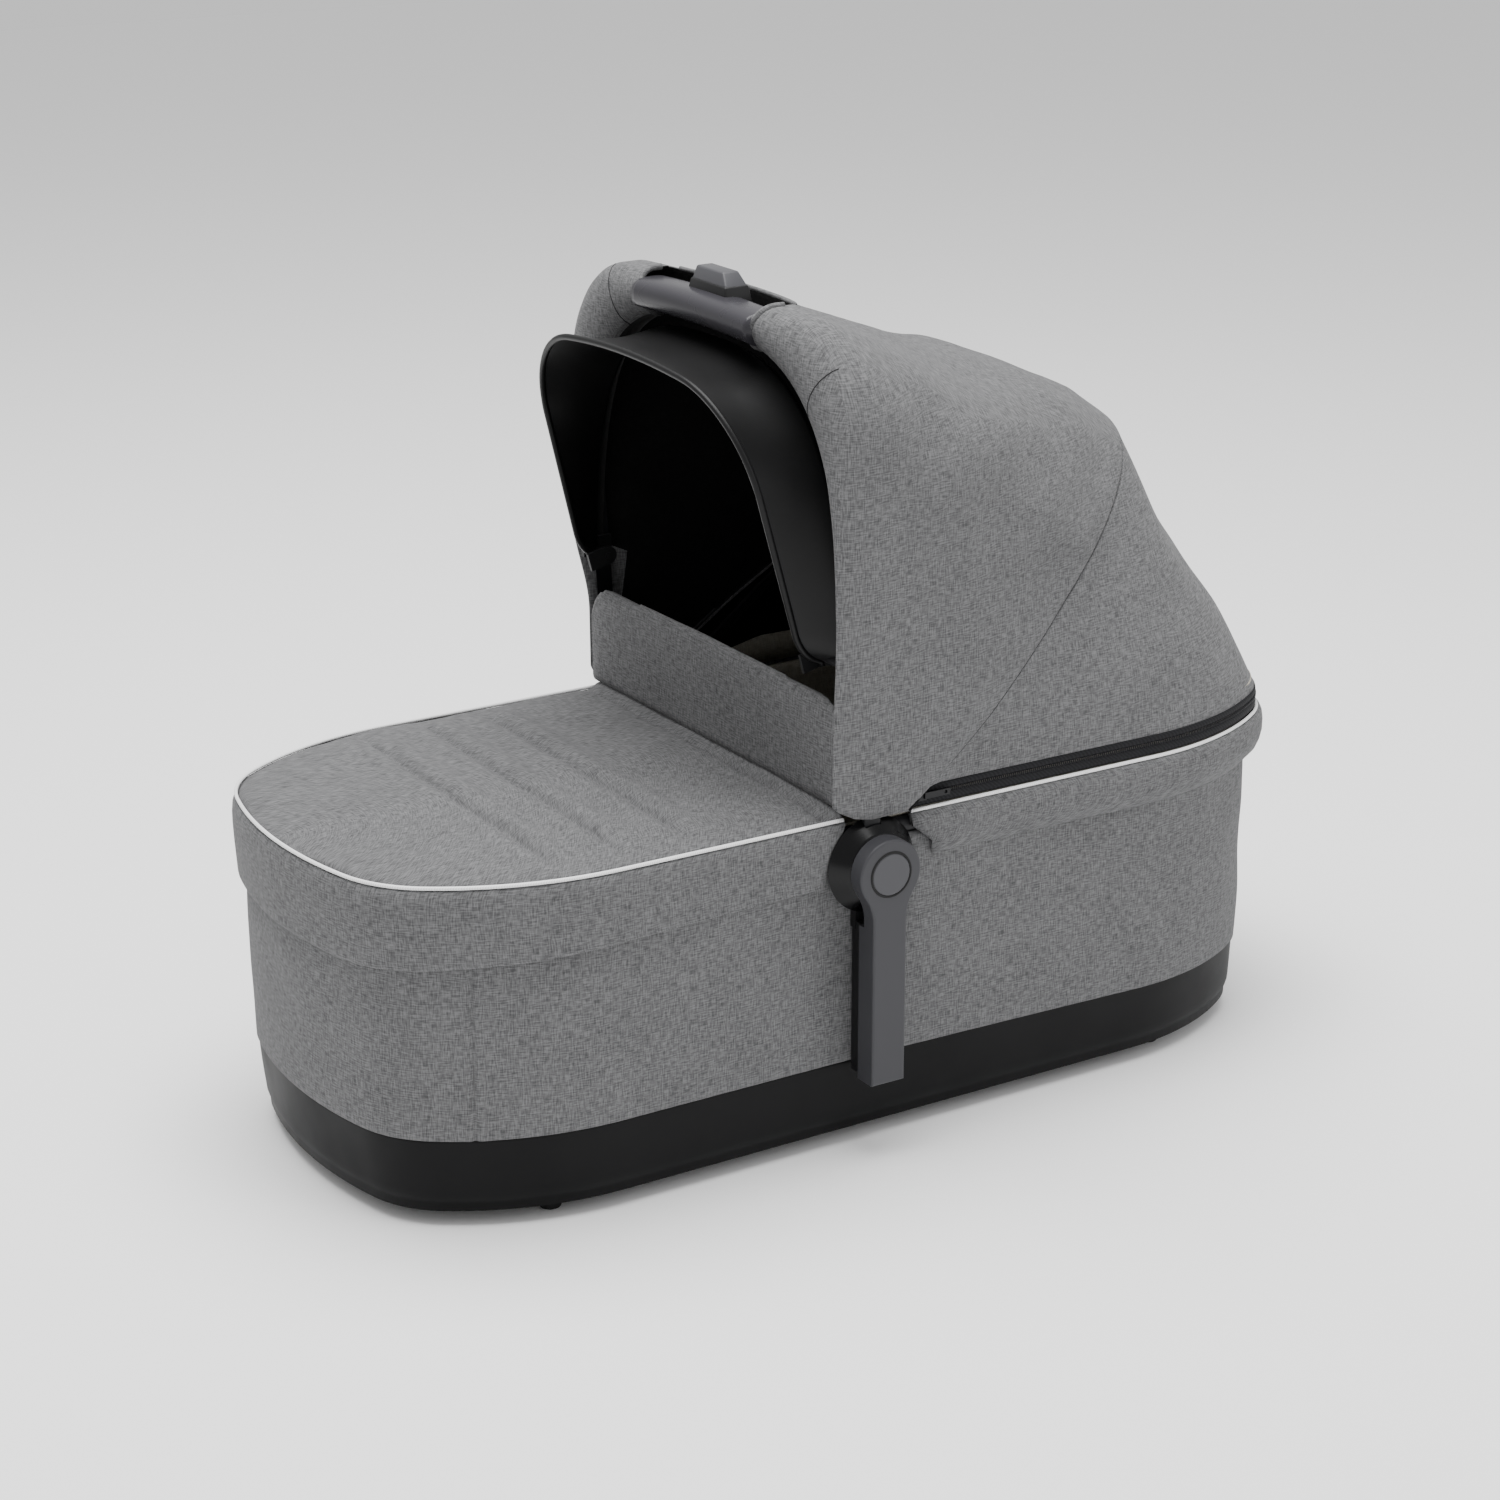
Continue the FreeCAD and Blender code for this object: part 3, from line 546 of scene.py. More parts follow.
CREASE = -0.048
APRON_RIM = 0.2712                           # height of the apron's edge inside the piping
APRON_EDGE = grown(PIPING, -0.5 * MM)
CROSS_SEAMS = (-0.277, -0.222, -0.167)       # quilting seams over the feet, 55 mm apart
TOPSTITCH = CREASE - 13 * MM
edge_line = np.array([p for p in end_path(APRON_EDGE, -1, CREASE) if p[1] >= -1e-9])
edge_line = edge_line[np.argsort(edge_line[:, 0])]


def edge_half(x):
    """Half width of the apron at x."""
    return float(np.interp(x, edge_line[:, 0], edge_line[:, 1]))


def apron_height(x, y):
    """Height of the padded top: a crown that rolls in at its edge, cut by the sewn seams."""
    half = max(edge_half(x), 1 * MM)
    side = max(0.0, half - abs(y))
    tip = max(0.0, x - PIPING[0])
    inward = min(side, tip * 1.2)
    crown = 6.2 * MM * (1 - math.exp(-inward / (22 * MM)))
    roll = -1.6 * MM * math.exp(-inward / (3 * MM))
    height = APRON_RIM + crown + roll
    fade = 1 / (1 + math.exp((abs(y) - 0.152) / (8 * MM)))
    for seam in CROSS_SEAMS:
        away = abs(x - seam - 0.0105 * y)    # the seams run a touch askew
        height -= 4.6 * MM * math.exp(-(away / (3.2 * MM)) ** 1.2) * fade
        height += 3.0 * MM * math.exp(-((away - 13 * MM) / (9 * MM)) ** 2) * fade
    height -= 3.0 * MM * math.exp(-(abs(x - TOPSTITCH) / (2.4 * MM)) ** 2)
    flap_side = max(0.0, x - (CREASE - 11 * MM)) / (11 * MM)
    height += 4.0 * MM * flap_side ** 2.2
    height += ripple((x, y, 0), 0.05, 1.8 * MM, 8.0) + ripple((x, y, 0), 0.018, 0.5 * MM, 1.0)
    return height


apron_rows = []
lengths = [APRON_EDGE[0] + 0.3 * MM + 0.05 * (1 - math.cos(math.pi / 2 * k / 30)) for k in range(30)]
lengths += list(np.linspace(APRON_EDGE[0] + 0.0503, CREASE, 220))
for x in lengths:
    half = edge_half(x)
    apron_rows.append([(x, half * s, apron_height(x, half * s)) for s in np.linspace(-1, 1, 81)])
apron = sheet_mesh("apron_top_cloth", apron_rows, grey_melange)
if apron.data.polygons[len(apron.data.polygons) // 2].normal.z < 0:
    apron.data.flip_normals()
thicken(apron, 2.5 * MM)
cap_and_close(apron)
finish(apron, "tub", "grey_fabric", "apron_top")


def ribbed_cloth(name, roughness, dark, light, rib, turn, wander, strength, distance, cloud=0, **values):
    """Cloth with a close rib or twill: rib sizes the wave and turn slants it. The colour follows
    the ribs, or soft patches where cloud gives their scale."""
    made, tree, _ = start_material(name, roughness, **values)
    cloth = add_node(tree, "ShaderNodeUVMap", {"uv_map": "cloth"}).outputs["UV"]
    turned = add_node(tree, "ShaderNodeMapping", inputs={"Rotation": (0, 0, turn)},
                      links={"Vector": cloth})
    ribs = shade = add_node(tree, "ShaderNodeTexWave", inputs={"Scale": 1 / rib, "Distortion": wander},
                            links={"Vector": turned.outputs["Vector"]})
    if cloud:
        shade = add_node(tree, "ShaderNodeTexNoise", inputs={"Scale": cloud, "Detail": 4.0},
                         links={"Vector": cloth})
    return end_material(made, shade.outputs["Fac"], linear(dark), linear(light), ribs.outputs["Fac"],
                        strength, distance)


# White reflective piping: a tight woven sleeve over a cord, with a dull pearl gloss.
white_piping = ribbed_cloth("white_reflective_piping", 0.45, "dcdcdc", "f4f4f4", 6 * MM, 0.0, 0.4,
                            0.15, 0.1 * MM, Coat_Weight=0.2, Coat_Roughness=0.3)


def cord_rows(path, radius, sides=10):
    """A round cord along a path: rings of points at right angles to it."""
    path = np.asarray(path, float)
    ahead = np.gradient(path, axis=0)
    ahead /= np.linalg.norm(ahead, axis=1, keepdims=True)
    side = np.cross(ahead, (0, 0, 1.0))
    side /= np.linalg.norm(side, axis=1, keepdims=True)
    lift = np.cross(side, ahead)
    rows = []
    for k in range(sides + 1):
        angle = 2 * math.pi * k / sides
        rows.append(path + radius * (side * math.cos(angle) + lift * math.sin(angle)))
    return rows


def cord_piece(name, path, radius, material, sides=10):
    """A capped round cord along a path."""
    return closed_mesh(name, cord_rows(path, radius, sides), material)


apron_cord = half_loop(grown(PIPING, 0.9 * MM), -1, CREASE, 0.2714)
piping_foot = cord_piece("apron_piping_cord", apron_cord, 1.45 * MM, white_piping)
finish(piping_foot, "tub", "reflective_piping", "apron_piping")

# ---- head rim band and piping ----
# A padded band covers the rim tube round the head end. It stands out over the wall, rolls in at
# its lower edge, and is cut back in a notch beside each hub.


def band_stop(z):
    """The notch beside the hub: upright at the top, then slanted."""
    return 0.012 + 0.022 * min(1.0, max(0.0, (0.256 - z) / 0.018))


# Millimetres out and down from the piping, round the band and back up behind it.
BAND_PROFILE = [(0.2, 0.0), (2.6, -1.2), (4.2, -4.5), (5.0, -10.0), (5.0, -18.0), (4.2, -25.0),
                (2.6, -31.0), (0.6, -35.5), (-1.2, -38.0), (-2.4, -39.0), (-3.0, -37.0), (-1.8, -33.0),
                (-0.2, -27.0), (1.4, -18.0), (1.4, -10.0), (0.6, -5.0), (-1.0, -2.0)]
BAND_TOP = 0.2655
band_rows = []
for out, down in BAND_PROFILE:
    foot, head, half = grown(PIPING, out * MM)
    head -= max(0.0, (-down - 14.0) / 25.0) ** 1.6 * 5 * MM      # it draws in lower down,
    head += 2.5 * MM * (out > 2.5)                               # and is fuller at the head
    z = BAND_TOP + down * MM
    band_rows.append(half_loop((foot, head, half), 1, band_stop(z), z))
band = padded_band("head_band_cloth", band_rows, 0.05, 2.0)
finish(band, "tub", "grey_fabric", "head_rim_band")
head_line = half_loop(grown(PIPING, 0.9 * MM), 1, 0.013, 0.2665)
piping_head = cord_piece("head_piping_cord", head_line, 1.45 * MM, white_piping)
finish(piping_head, "tub", "reflective_piping", "head_piping")

# ---- zip ----
# A black coil zip joins the hood to the rim: two woven tapes with rolled edges, a row of coil
# teeth between them, and a slider with a pull at each hub end.

# Woven polyester tape: close diagonal ribs, drawn 1.4 mm apart, coarser than real, so they show.
zip_tape = ribbed_cloth("black_zip_tape", 0.75, "0c0c0e", "1c1c1f", 9 * MM, 0.7, 1.0, 0.3, 0.2 * MM,
                        Specular_IOR_Level=0.2)
ZIP_START = 0.014                            # the zip begins just behind each hub
ZIP_TAPES = (("zip_tape_lower", 0.2684, 0.2762, 0.4), ("zip_tape_upper", 0.2780, 0.2842, 1.4))
for node, low, high, lean in ZIP_TAPES:
    tape_rows = []
    middle, half_height = (low + high) / 2, (high - low) / 2
    for k in range(13):
        angle = 2 * math.pi * k / 12
        out = -0.6 - lean * 0.5 + 1.1 * math.cos(angle) - 0.12 * lean * math.sin(angle)
        z = middle + half_height * math.sin(angle)
        tape_rows.append(half_loop(grown(PIPING, out * MM), 1, ZIP_START, z))
    tape = closed_mesh(node + "_weave", tape_rows, zip_tape)
    finish(tape, "tub", "zip_black", node)

# A strip of lining behind the teeth, low beside the hubs so that it clears the folded hood.
GUARD_PROFILE = ((-3.2, 0.2660), (-2.6, 0.2660), (-2.6, 0.2760), (-4.4, 0.2910), (-5.1, 0.2910),
                 (-3.2, 0.2660))
guard_rows = []
for out, z in GUARD_PROFILE:
    row = half_loop(grown(PIPING, out * MM), 1, ZIP_START, z)
    row[:, 2] = np.minimum(row[:, 2], z - (z - 0.266) * 0.8 * np.clip((0.11 - row[:, 0]) / 0.09, 0, 1))
    guard_rows.append(row)
guard = closed_mesh("zip_guard_strip", guard_rows, lining_cloth)
finish(guard, "tub", "lining")

zip_nylon = moulded_plastic("black_nylon_coil", "1b1b1d", 0.35)


def curve_from(name, points):
    """A polyline curve object that Geometry Nodes can follow."""
    data = bpy.data.curves.new(name, "CURVE")
    data.dimensions = "3D"
    line = data.splines.new("POLY")
    line.points.add(len(points) - 1)
    for spot, point in zip(line.points, points):
        spot.co = (*point, 1.0)
    return add_object(name, data)


def repeat_tree(name, material):
    """Geometry Nodes that set a short rounded bar at even steps along a curve."""
    tree = bpy.data.node_groups.new(name, "GeometryNodeTree")
    face = tree.interface
    face.new_socket("Geometry", in_out="INPUT", socket_type="NodeSocketGeometry")
    for socket in ("Spacing", "Bar Radius", "Bar Length", "Turn", "Unevenness"):
        face.new_socket(socket, in_out="INPUT", socket_type="NodeSocketFloat")
    face.new_socket("Geometry", in_out="OUTPUT", socket_type="NodeSocketGeometry")
    entry = add_node(tree, "NodeGroupInput").outputs
    steps = add_node(tree, "GeometryNodeResampleCurve", {"mode": "LENGTH"},
                     links={"Curve": entry["Geometry"], "Length": entry["Spacing"]})
    spots = add_node(tree, "GeometryNodeCurveToPoints", {"mode": "EVALUATED"},
                     links={"Curve": steps.outputs["Curve"]})
    bar = add_node(tree, "GeometryNodeMeshCylinder", inputs={"Vertices": 6},
                   links={"Radius": entry["Bar Radius"], "Depth": entry["Bar Length"]})
    jitter = add_node(tree, "FunctionNodeRandomValue", {"data_type": "FLOAT"}, {"Seed": 11},
                      {"Max": entry["Unevenness"]})
    angle = add_node(tree, "ShaderNodeMath", {"operation": "ADD"},
                     links={0: entry["Turn"], 1: jitter.outputs[1]})
    spin = add_node(tree, "ShaderNodeCombineXYZ", links={"X": angle.outputs[0]})
    facing = add_node(tree, "FunctionNodeRotateRotation", {"rotation_space": "LOCAL"},
                      links={"Rotation": spots.outputs["Rotation"]})
    turned = add_node(tree, "FunctionNodeEulerToRotation", links={"Euler": spin.outputs["Vector"]})
    tree.links.new(turned.outputs[0], facing.inputs["Rotate By"])
    copies = add_node(tree, "GeometryNodeInstanceOnPoints", links={
        "Points": spots.outputs["Points"], "Instance": bar.outputs["Mesh"],
        "Rotation": facing.outputs[0]})
    real = add_node(tree, "GeometryNodeRealizeInstances", links={"Geometry": copies.outputs["Instances"]})
    painted = add_node(tree, "GeometryNodeSetMaterial", {}, {"Material": material},
                       {"Geometry": real.outputs["Geometry"]})
    add_node(tree, "NodeGroupOutput", links={"Geometry": painted.outputs["Geometry"]})
    return tree


def set_along(name, path, tree, spacing, radius, length, turn=0.0, uneven=0.0):
    """Bars at even steps along a path, as one plain mesh."""
    guide = curve_from(name + "_guide", path)
    made = guide.modifiers.new("repeat", "NODES")
    made.node_group = tree
    values = {"Spacing": spacing, "Bar Radius": radius, "Bar Length": length, "Turn": turn,
              "Unevenness": uneven}
    for item in tree.interface.items_tree:
        if item.in_out == "INPUT" and item.name in values:
            made[item.identifier] = values[item.name]
    shown = guide.evaluated_get(bpy.context.evaluated_depsgraph_get())
    piece = add_object(name, bpy.data.meshes.new_from_object(shown))
    bpy.data.objects.remove(guide)
    piece.data.shade_smooth()
    return piece


coil_tree = repeat_tree("coil_teeth", zip_nylon)
coil_path = half_loop(grown(PIPING, -0.2 * MM), 1, ZIP_START, 0.2771)
coil = set_along("zip_coil_teeth", coil_path, coil_tree, 1.9 * MM, 0.55 * MM, 2.6 * MM, math.pi / 2)
finish(coil, "tub", "zip_black", "zip_chain")
slider_metal = moulded_plastic("black_painted_zinc", "111113", 0.4, grain=1.2 * MM, depth=0.05)
dress(slider_metal, "zip_slider_left", "zip_slider_right")

# ---- wind flap ----
# A padded panel that stands up from the apron's crease, with rounded top corners, stitched
# 6 mm inside its edge.

flap_low, flap_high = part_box("wind_flap")
FLAP_TOP = flap_high.z + 5 * MM
FLAP_HALF = flap_high.y
FLAP_MIDDLE = (flap_low.x + flap_high.x) / 2


def flap_outline(inset, count=14):
    """Half the flap's outline, from the middle of its lower edge round to its top middle."""
    radius = 0.034 - inset
    half, top, low = FLAP_HALF - inset, FLAP_TOP - inset, flap_low.z + 0.3 * MM + inset * 0.3
    points = [(y, low) for y in np.linspace(0, half, 18)]
    points += [(half, z) for z in np.linspace(low, top - 3 * MM - radius, 9)[1:]]
    for k in range(1, count):
        angle = math.pi / 2 * k / count
        points.append((half - radius + radius * math.cos(angle),
                       top - 3 * MM - radius + radius * math.sin(angle)))
    points += [(y, top - 3 * MM * (y / half) ** 2) for y in np.linspace(half - radius, 0, 18)]
    return points


def flap_ring(inset, x):
    """The flap's whole outline, moved in by inset, in the upright plane at x."""
    half = flap_outline(inset)
    return [(x, y, z) for y, z in half] + [(x, -y, z) for y, z in half[-2:0:-1]]


flap_rows = []
FLAP_THICK = 3.6 * MM                        # half its thickness
# Its fullness by the distance (mm) from its edge: a groove runs 6 mm in, under the stitches.
FLAP_SWELL = [(30, 0.95), (12, 1.0), (7.5, 0.96), (6, 0.70), (4.5, 0.82), (2, 0.66), (0.6, 0.36), (0, 0.0)]
for way, profile in ((-1, FLAP_SWELL), (1, FLAP_SWELL[-2::-1])):
    for inset, swell in profile:
        flap_rows.append(flap_ring(inset * MM, FLAP_MIDDLE + way * FLAP_THICK * swell))
flap = closed_mesh("wind_flap_pad", flap_rows, grey_melange, close=True)
inflate(flap, grey_melange, voxel=4 * MM, pressure=2.0, frames=10, cap=1.2 * MM)
for vertex in flap.data.vertices:
    vertex.co.x += ripple(vertex.co, 0.06, 1.0 * MM, 4.0)
flap.data.shade_smooth()
box_uv(flap)
finish(flap, "wind_flap", "grey_fabric", "wind_flap")

# ---- stitching on the flap and apron ----
# Grey polyester thread in lock stitches, one every 3.6 mm: a row along the apron's crease, and a
# row round the flap on each of its faces.

thread_grey = moulded_plastic("grey_polyester_thread", "5a5a5b", 0.85, grain=0.5 * MM, depth=0.3)
stitch_tree = repeat_tree("lock_stitches", thread_grey)


def stitch_row(name, path, body):
    piece = set_along(name, path, stitch_tree, 3.6 * MM, 0.30 * MM, 2.5 * MM, uneven=0.08)
    finish(piece, body, "grey_fabric")


crease_path = [(TOPSTITCH, y, apron_height(TOPSTITCH, y) - 0.1 * MM)
               for y in np.linspace(0.183, -0.183, 90)]
stitch_row("crease_stitches", crease_path, "tub")
half_edge = [(y, z) for y, z in flap_outline(6 * MM) if z > flap_low.z + 8 * MM]
edge_run = half_edge + [(-y, z) for y, z in half_edge[::-1]]
for face, way in (("front", 1), ("back", -1)):
    spots = [flap.ray_cast((FLAP_MIDDLE - way * 0.03, y, z), (way, 0, 0)) for y, z in edge_run]
    stitch_row(f"flap_stitches_{face}", [spot[1] for spot in spots if spot[0]], "wind_flap")

# ---- side arms and hubs ----
# Glass-filled nylon arms with a fine spark grain. A round release button sits in a groove in each arm's
# head, and the groove's shade is painted as a near-black ring; behind it is the hood's glossy domed hub.

arm_grey = moulded_plastic("dark_grey_nylon", "343437", 0.46)
button_grey = moulded_plastic("grey_nylon_button", "3e3e41", 0.38)
gloss_black = moulded_plastic("gloss_black_abs", "050506", 0.24, grain=2.5 * MM, depth=0.02, shine=0.2)
dress(arm_grey, "arm_shell_left", "arm_shell_right")
dress(black_nylon, "arm_rail_left", "arm_rail_right", "visor_bracket_left", "visor_bracket_right",
      "visor_pivot_left", "visor_pivot_right")
dress(button_grey, "release_button_left", "release_button_right")
dress(gloss_black, "bow_hub_left", "bow_hub_right")


def ring_piece(name, centre, radius, thick, material):
    """A round ring standing on edge, facing the side."""
    angles = np.linspace(0, 2 * math.pi, 49)
    rows = []
    for turn in np.linspace(0, 2 * math.pi, 11):
        reach = radius + thick * math.cos(turn)
        rows.append([(centre[0] + reach * math.cos(a), centre[1] + thick * math.sin(turn),
                      centre[2] + reach * math.sin(a)) for a in angles])
    return closed_mesh(name, rows, material)


GROOVE_SHADE_Y = 0.2197                              # just proud of the arm's outer face
SPRING_Y, SPRING_LONG = 0.2107, 2.2 * MM     # the spring's coil behind the button
# A near-black ring round each release button: painted shade in the groove round the button, not a part of
# its own.
for side, sign in (("left", 1), ("right", -1)):
    groove_shade_ring = ring_piece(f"button_groove_shade_{side}", (HUB.x, sign * GROOVE_SHADE_Y, HUB.z), 17.3 * MM, 1.1 * MM, rubber)
    finish(groove_shade_ring, "tub", "rubber")

for side, sign in (("left", 1), ("right", -1)):
    turns = np.linspace(0, 6.5 * math.pi, 90)
    coil_run = [(HUB.x + 6.4 * MM * math.cos(a), sign * (SPRING_Y + SPRING_LONG * k / 89),
                 HUB.z + 6.4 * MM * math.sin(a)) for k, a in enumerate(turns)]
    spring = cord_piece(f"release_spring_coil_{side}", coil_run, 0.3 * MM, zinc_steel, 6)
    finish(spring, "tub", "steel", f"release_spring_{side}")
    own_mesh(spring)

# ---- hood bows ----
# The front bow is a flat bar of black anodised aluminium that also carries the cot, and is made
# with the sleeve round it below. The middle bow is a thinner bar with the same finish.

black_anodised = moulded_plastic("black_anodised_aluminium", "141416", 0.4)
dress(black_anodised, "mid_bow")

# ---- hood: front panel with its padded edge ----
# One shaped sheet of melange over black lining. It rolls round the front bow, runs back to the
# seam over the middle bow, and leaves an opening behind the grip for the hand.

hood_black = melange("black_hood_lining", "060606", "0c0c0c", fleck=0.3)
HOOD_TOP = 0.640
SLEEVE_FRONT, SLEEVE_CREST = -0.062, -0.045  # x of the padded roll's front and of its top
GRIP_HALF = 0.079                            # the cuffs beside the grip
SLOT_HALF, SLOT_DEPTH = 0.088, 0.019
COLUMNS = 181


def even_steps(points, count):
    """A polyline resampled at equal steps of its own length."""
    points = np.asarray(points, float)
    run = np.concatenate([[0], np.cumsum(np.linalg.norm(np.diff(points, axis=0), axis=1))])
    at = np.linspace(0, run[-1], count)
    return np.column_stack([np.interp(at, run, points[:, k]) for k in range(points.shape[1])])


def hoop(base_y, base_z, centre_y, corner, top, crown=2.5):
    """Left half of an arch as (y, z) points, from its foot up to the middle of its top."""
    crown_z = top - crown
    centre_z = crown_z + math.sqrt((crown - corner) ** 2 - centre_y ** 2)
    dy, dz = base_y - centre_y, base_z - centre_z
    lean = math.atan2(-dz, dy) - math.acos(corner / math.hypot(dy, dz))
    corner_end = math.atan2(centre_z - crown_z, centre_y)
    points = [(base_y, base_z)]
    for angle in np.linspace(-lean, corner_end, 40):
        points.append((centre_y + corner * math.cos(angle), centre_z + corner * math.sin(angle)))
    for y in np.linspace(points[-1][0], 0, 30)[1:]:
        points.append((y, crown_z + math.sqrt(crown ** 2 - y ** 2)))
    return np.array(points)


def superellipse(half, base_z, rise, power, leg_z):
    """Left half of a squared-off arch as (y, z) points, on a leg that starts at leg_z."""
    points = [(half, leg_z)]
    for angle in np.linspace(0, math.pi / 2, 60):
        points.append((half * math.cos(angle) ** (2 / power),
                       base_z + rise * math.sin(angle) ** (2 / power)))
    return np.array(points)


def arch(half_points, x=None):
    """A whole arch in space with even columns: left foot, over the top, right foot."""
    half_points = np.asarray(half_points)
    whole = np.vstack([half_points, half_points[-2::-1] * [-1, 1]])
    line = even_steps(whole, COLUMNS)
    return line if x is None else np.column_stack([np.full(COLUMNS, x), line])


def outer_arch(base_z):
    """The hood's outside over the front bow."""
    return hoop(base_y=0.2003, base_z=base_z, centre_y=0.118, corner=0.086, top=HOOD_TOP + 0.5 * MM)


def inner_arch(base_z):
    """The inside of the sleeves."""
    return superellipse(half=0.1955, base_z=0.330, rise=0.281, power=3.0, leg_z=base_z)


HEM_X = [-0.066, -0.058, -0.045, -0.031, 0.006]
HEM_Z = [0.2920, 0.2830, 0.2755, 0.2722, 0.2700]


def hem(x):
    """Height of the hood's lower edge, rounded up towards the front."""
    return float(np.interp(x, HEM_X, HEM_Z))


def settled(line):
    """The sleeve hangs a little further back low on the left side, and forward on the right."""
    low = np.clip((0.425 - line[:, 2]) / 0.09, 0, 1)
    low = low * low * (3 - 2 * low)
    front = np.minimum(0.0, line[:, 0] + 0.031)
    line[:, 0] -= front * low * np.where(line[:, 1] > 0, 0.5, -0.08)
    return line


SEAM_TILT = math.radians(52.5)
SEAM_BASE = (-0.020, 0.250)


def seam_line(grow=0.0):
    """The seam over the middle bow: a superellipse in a plane that leans back."""
    angles = np.linspace(math.asin(0.035 / 0.417) ** 1.1, math.pi / 2, 80)
    points = [((0.188 + grow) * math.cos(a) ** (2 / 2.25), (0.417 + grow) * math.sin(a) ** (2 / 2.25))
              for a in angles]
    points = [(0.188 + grow, 0.033)] + points
    points = [(y + 7 * MM * (1 - np.clip((r - 0.13) / 0.11, 0, 1)) * (y > 0.1), r) for y, r in points]
    line = arch(points)
    return np.column_stack([SEAM_BASE[0] + line[:, 1] * math.sin(SEAM_TILT), line[:, 0],
                            SEAM_BASE[1] + line[:, 1] * math.cos(SEAM_TILT)])


def sleeve_row(angle):
    """One line of the padded roll round the front bow: -90 degrees inside, 90 degrees outside."""
    lift = (math.sin(angle) + 1) / 2
    x = SLEEVE_CREST + (SLEEVE_FRONT - SLEEVE_CREST) * math.cos(angle)
    inner, outer = arch(inner_arch(hem(x))), arch(outer_arch(hem(x)))
    line = inner + (outer - inner) * lift
    return settled(np.column_stack([np.full(COLUMNS, x), line]))


def panel_start():
    """Front edge of the panel: straight beside the sleeves, bowed back behind the grip."""
    line = arch(outer_arch(hem(-0.031)), -0.031)
    top = line[:, 2] > 0.5
    bow = np.sqrt(np.clip(1 - (line[:, 1] / SLOT_HALF) ** 2, 0, 1)) * top
    line[:, 0] += SLOT_DEPTH * bow
    line[:, 2] -= 0.3 * SLOT_DEPTH * bow
    return line


start, seam = panel_start(), seam_line()
PANEL_ROWS = 96
panel_rows = np.array([start * (1 - s) + seam * s for s in np.linspace(0, 1, PANEL_ROWS + 1)])
across_hood = np.linspace(0, math.pi, COLUMNS)
ROOF_AT = [0, 0.2, 0.46, 0.6, 0.75, 0.8, 0.86, 0.92, 0.96, 1]      # share of the way to the seam
ROOF_RISE = [0, 0, 4.5, 9, 11.5, 12, 11, 8, 4.5, 0]               # mm above a straight pull


def panel_shape(r, c, point):
    s = r / PANEL_ROWS
    crest = math.sin(across_hood[c])
    crown = MM * np.interp(s, ROOF_AT, ROOF_RISE) * crest ** 4
    crown += 4 * MM * math.sin(math.pi * s) * crest ** 2 * (1 - crest ** 2) * 4
    calm = min(1.0, s * 7) * min(1.0, (1 - s) * 12)
    cloth = ripple(point, 0.11, 6.0 * MM, 6.0) + ripple(point, 0.05, 4.6 * MM, 9.0)
    cloth += ripple(point, 0.02, 0.6 * MM, 2.0)
    return crown + cloth * calm * min(1.0, crest * 2.5)


panel_rows = push_out(panel_rows, panel_shape, (40, COLUMNS // 2), (0, 0, 1))
seam_inside, seam_dip = seam_line(-6 * MM), seam_line(-4 * MM)
shoulder = panel_rows[-2] * 0.45 + seam * 0.55
panel_rows = np.vstack([panel_rows[:-1], [shoulder], [seam_dip], [seam_inside]])
front_panel = sheet_mesh("hood_front_sheet", panel_rows, grey_melange)
sleeve_rows = [arch(inner_arch(hem(-0.034)), -0.034)]
sleeve_rows += [sleeve_row(math.radians(a)) for a in range(-90, 91, 15)]
sleeve_rows.append(settled(arch(outer_arch(hem(-0.038)), -0.038)))
sleeve_rows.append(panel_rows[0])
sleeve_rows = np.array(sleeve_rows)
cuff_columns = [c for c in range(COLUMNS)
                if abs(panel_rows[0][c, 1]) > SLOT_HALF or panel_rows[0][c, 2] < 0.5]
left_columns = [c for c in cuff_columns if c < COLUMNS // 2]
right_columns = [c for c in cuff_columns if c > COLUMNS // 2]
sleeves = [sheet_mesh("hood_sleeve_sheet", sleeve_rows[:, columns], grey_melange)
           for columns in (left_columns, right_columns)]


def join(name, pieces):
    """Joins meshes into one piece and welds the columns that they share."""
    target = pieces[0]
    with edited(target.data) as work:
        for piece in pieces[1:]:
            work.from_mesh(piece.data)
        bmesh.ops.remove_doubles(work, verts=work.verts, dist=0.02 * MM)
    for piece in pieces[1:]:
        bpy.data.objects.remove(piece)
    target.name = name
    target.data.shade_smooth()
    return target


def outward_sheet(piece, centre):
    """Turns an open sheet's faces the same way, away from a point inside."""
    with edited(piece.data) as work:
        bmesh.ops.recalc_face_normals(work, faces=work.faces)
        total = sum((f.calc_center_median() - Vector(centre)).dot(f.normal) * f.calc_area()
                    for f in work.faces)
        if total < 0:
            bmesh.ops.reverse_faces(work, faces=work.faces)


def hood_blend(piece):
    """Writes a hood sheet's placement into its mesh."""
    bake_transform(piece)


